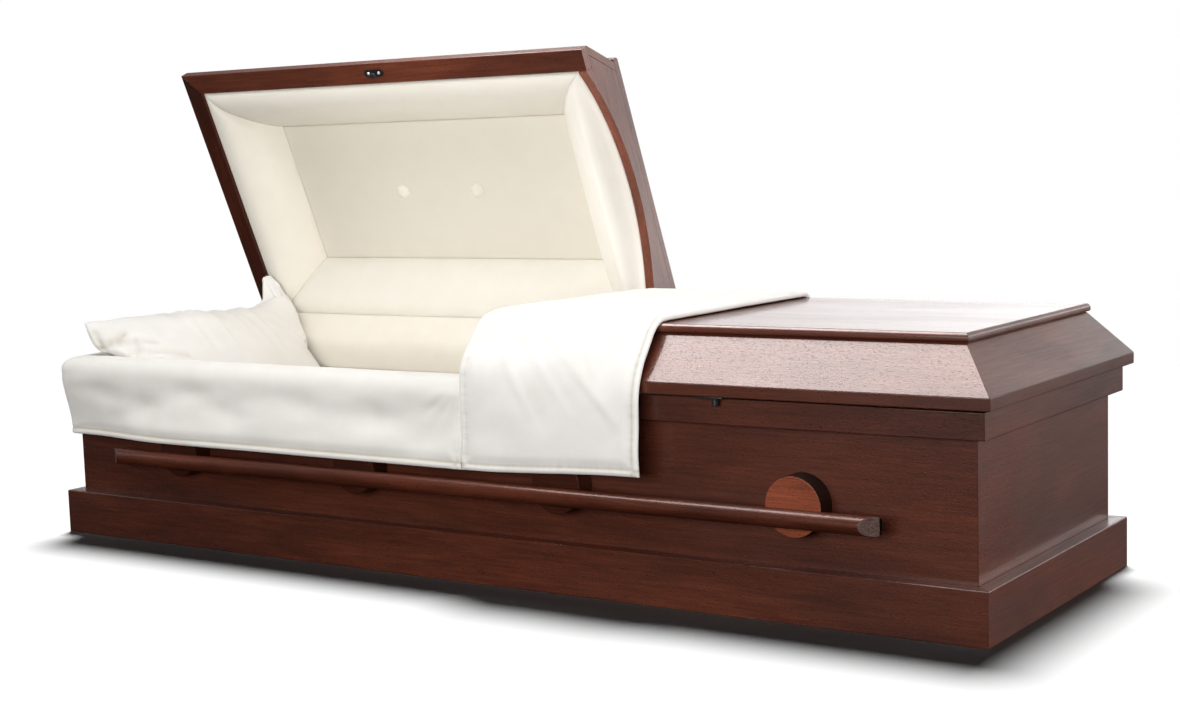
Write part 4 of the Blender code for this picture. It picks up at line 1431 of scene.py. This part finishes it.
def buildStrike():
    x, y, top = fittings["strikeAt"]
    depth = fittings["strikeDepth"]
    end, radius = fittings["strikeEnds"]
    shape = bmesh.new()
    for side in (-1, 1):
        bmesh.ops.create_circle(shape, segments=24, radius=radius,
                                matrix=Matrix.Translation((x + side * end, y, top)))
    bmesh.ops.convex_hull(shape, input=shape.verts)
    bmesh.ops.dissolve_limit(shape, angle_limit=0.02, verts=shape.verts, edges=shape.edges)
    raised = bmesh.ops.extrude_face_region(shape, geom=shape.faces[:1])
    bmesh.ops.translate(shape, vec=(0, 0, -depth), verts=vertsOf(raised))
    bmesh.ops.remove_doubles(shape, verts=shape.verts, dist=1e-6)
    bmesh.ops.recalc_face_normals(shape, faces=shape.faces)
    shape.transform(lidOpen)
    addPiece("strikePlate", shape, "head_lid", metal["black"], "hardware", "strike_plate",
             sharp=fittings["sharp"])
    camX, camY = fittings["camAt"]
    place = lidOpen @ Matrix.Translation((x + camX, y + camY, top - depth))
    addPiece("strikeCam", spunPart(fittings["cam"], 32, place), "head_lid", metal["black"], "hardware")
    for number, side in enumerate((-1, 1), start=1):
        place = lidOpen @ Matrix.Translation((x + side * fittings["screwX"], y, top - depth))
        addPiece(f"strikeScrew-{number}", spunPart(fittings["screw"], 20, place), "head_lid",
                 metal["screw"], "hardware")


def buildLatch():
    shape = blockBetween(fittings["latchLow"], fittings["latchHigh"])
    easeEdges(shape, shape.edges[:], fittings["latchEdge"], 2)
    addPiece("latchPlate", shape, "foot_lid", metal["black"], "hardware", "foot_lid_latch",
             sharp=fittings["sharp"])
    middle = Vector((*fittings["knobAt"], fittings["latchLow"][2]))
    count = fittings["knurls"]
    shape = spunPart(fittings["knob"], count, Matrix.Translation(middle))
    for vert in shape.verts:
        flat = Vector((vert.co.x - middle.x, vert.co.y - middle.y))
        if flat.length > fittings["knurlFrom"]:
            notch = round(math.atan2(flat.y, flat.x) / (2 * math.pi) * count) % 2
            vert.co.xy = middle.xy + flat * (1 - fittings["knurlDepth"] * notch)
    addPiece("latchKnob", shape, "foot_lid", metal["black"], "hardware", sharp=fittings["sharp"])


buildWallCloth()
buildMattress()
buildHingeStrip()
print("box lined")
for side in ("front", "rear", "head", "split"):
    buildRoll(side)
buildPanel()
buildFootPanel()
print("lids lined")
buildPillow()
print("pillow filled")
buildApron()
buildGusset()
buildThrow()
print("apron and throw draped")
buildStrike()
buildLatch()
print("fittings fixed")

# Stage: a pale floor, a white surround, and lights for the part and for the floor
stage = {
    "floorSize": 60.0,
    "floorColor": (0.3, 0.3, 0.3),
    "fade": (1.9, 3.4, 0.01, 1.0),
    "surround": (1.0, 1.0, 1.0),
    "softDiffuse": 0.015,
    "sheenReach": (-0.3, 0.5),
    "sheenPeak": 5.6,
    "sheen": [(-0.3, 0.01), (-0.2, 0.02), (-0.15, 0.035), (-0.115, 0.06), (-0.07, 0.9),
              (-0.045, 1.0), (-0.02, 0.72), (0.01, 0.48), (0.05, 0.4), (0.1, 0.62), (0.16, 0.48),
              (0.25, 0.19), (0.35, 0.14), (0.5, 0.11)],
    "toFoot": ("X", -0.62, -0.36, 0.3, 1.0),
    "belowEye": ("Z", 0.02, 0.06, 1.0, 0.0),
    "notMiddle": ("X", 0.37, 0.5, 0.06, 1.0),
    "behind": ("Y", -0.2, 0.5, 0.08, 1.0),
    "sunFrom": (-0.185, 0.36, 0.92),
    "sunStrength": 12.5,
    "sunAngle": 20,
}

# Each light's place, target, size and power, and the rays it is seen in
lights = {
    "overhead": ((-0.19, -0.84, 2.1), (0.0, -0.25, 0.45), (2.0, 0.6), 15, "both"),
    "ceilingSheen": ((-0.19, -0.12, 2.1), (-0.19, -0.12, 0.0), (2.0, 1.8), 128, "gloss"),
    "topBox": ((0.0, 0.2, 3.4), (0.0, 0.0, 0.4), (4.0, 2.6), 38, "both"),
    "frontFill": ((1.0, -4.15, 1.1), (0.5, 0.0, 0.4), (3.8, 1.4), 120, "both"),
    "bedGlow": ((-0.3, -0.12, 0.48), (-0.32, 0.08, 0.86), (0.8, 0.3), 0.78, "matt"),
    "leftFill": ((-4.0, -1.2, 1.4), (-0.6, 0.0, 0.4), (1.8, 1.8), 30, "both"),
    "backFill": ((0.3, 3.6, 1.5), (0.0, 0.3, 0.5), (4.0, 1.6), 60, "matt"),
    "footFill": ((3.9, -0.4, 1.3), (0.9, 0.0, 0.3), (1.6, 1.6), 72, "matt"),
}


def buildStage():
    shape = bmesh.new()
    bmesh.ops.create_grid(shape, x_segments=1, y_segments=1, size=stage["floorSize"] / 2)
    floor = addObject("floor", meshFrom(shape, "floor"))
    material, tree, shader = newMaterial("paleFloor")
    setInputs(shader, {"Base Color": (*stage["floorColor"], 1.0), "Roughness": 1.0,
                       "Specular IOR Level": 0.0})
    reach = addNode(tree, "ShaderNodeVectorMath", operation="LENGTH")
    tree.links.new(whereOn(tree), reach.inputs[0])
    # Near the box the floor mixes in a small share of white glow, painted light that lifts its shadow;
    # far out it turns to even white glow as a backdrop
    fade = ranged(tree, reach.outputs["Value"], *stage["fade"], "SMOOTHSTEP")
    white = addNode(tree, "ShaderNodeEmission", Color=(*stage["surround"], 1.0))
    blend = tree.nodes.new("ShaderNodeMixShader")
    joinSockets(tree, ((blend.inputs[0], fade), (blend.inputs[1], shader.outputs[0]),
                       (blend.inputs[2], white.outputs[0])))
    tree.links.new(blend.outputs[0], tree.nodes["Material Output"].inputs["Surface"])
    floor.data.materials.append(material)
    floor.visible_glossy = False
    floor.visible_diffuse = False
    return floor


def buildWorld():
    world = bpy.data.worlds.new("studio")
    world.use_nodes = True
    tree = world.node_tree
    back = tree.nodes["Background"]
    back.inputs["Color"].default_value = (*stage["surround"], 1.0)
    split = tree.nodes.new("ShaderNodeSeparateXYZ")
    tree.links.new(whereOn(tree, "Generated"), split.inputs[0])
    # What the lacquer mirrors: dim below, a bright band at the horizon, soft above it
    low, high = stage["sheenReach"]
    level = ranged(tree, split.outputs["Z"], low, high, 0.0, 1.0)
    stops = [((z - low) / (high - low), value) for z, value in stage["sheen"]]
    band = ramp(tree, level, stops)
    toFoot, belowEye, notMiddle, behind = (
        ranged(tree, split.outputs[axis], *values)
        for axis, *values in (stage[key] for key in ("toFoot", "belowEye", "notMiddle", "behind")))
    beside = mixed(tree, "MIX", belowEye, toFoot, notMiddle)
    mirror = calc(tree, "MULTIPLY", calc(tree, "MULTIPLY", band, beside), behind)
    mirror = calc(tree, "MULTIPLY", mirror, stage["sheenPeak"])
    ray = tree.nodes.new("ShaderNodeLightPath")
    glossy = calc(tree, "MULTIPLY", mirror, ray.outputs["Is Glossy Ray"])
    soft = calc(tree, "MULTIPLY", ray.outputs["Is Diffuse Ray"], stage["softDiffuse"])
    seen = calc(tree, "ADD", calc(tree, "ADD", glossy, soft), ray.outputs["Is Camera Ray"])
    tree.links.new(seen, back.inputs["Strength"])
    bpy.context.scene.world = world


def addLights(floor):
    lit = bpy.data.collections.new("notTheFloor")
    lit.objects.link(floor)
    lit.collection_objects[0].light_linking.link_state = "EXCLUDE"
    for name, (place, target, size, power, seenIn) in lights.items():
        data = bpy.data.lights.new(name, "AREA")
        data.shape = "RECTANGLE"
        data.size, data.size_y = size
        data.energy = power
        lamp = addObject(name, data)
        lamp.location = place
        lamp.rotation_euler = (Vector(target) - Vector(place)).to_track_quat("-Z", "Y").to_euler()
        lamp.light_linking.receiver_collection = lit
        lamp.visible_camera = False
        lamp.visible_diffuse = seenIn != "gloss"
        lamp.visible_glossy = seenIn != "matt"
    floorOnly = bpy.data.collections.new("justTheFloor")
    floorOnly.objects.link(floor)
    data = bpy.data.lights.new("floorSun", "SUN")
    data.energy = stage["sunStrength"]
    data.angle = math.radians(stage["sunAngle"])
    lamp = addObject("floorSun", data)
    lamp.rotation_euler = (-Vector(stage["sunFrom"])).to_track_quat("-Z", "Y").to_euler()
    lamp.light_linking.receiver_collection = floorOnly


placeCamera()
buildWorld()
addLights(buildStage())
bpy.context.scene.view_settings.view_transform = "Standard"
print("camera, stage and lights set")
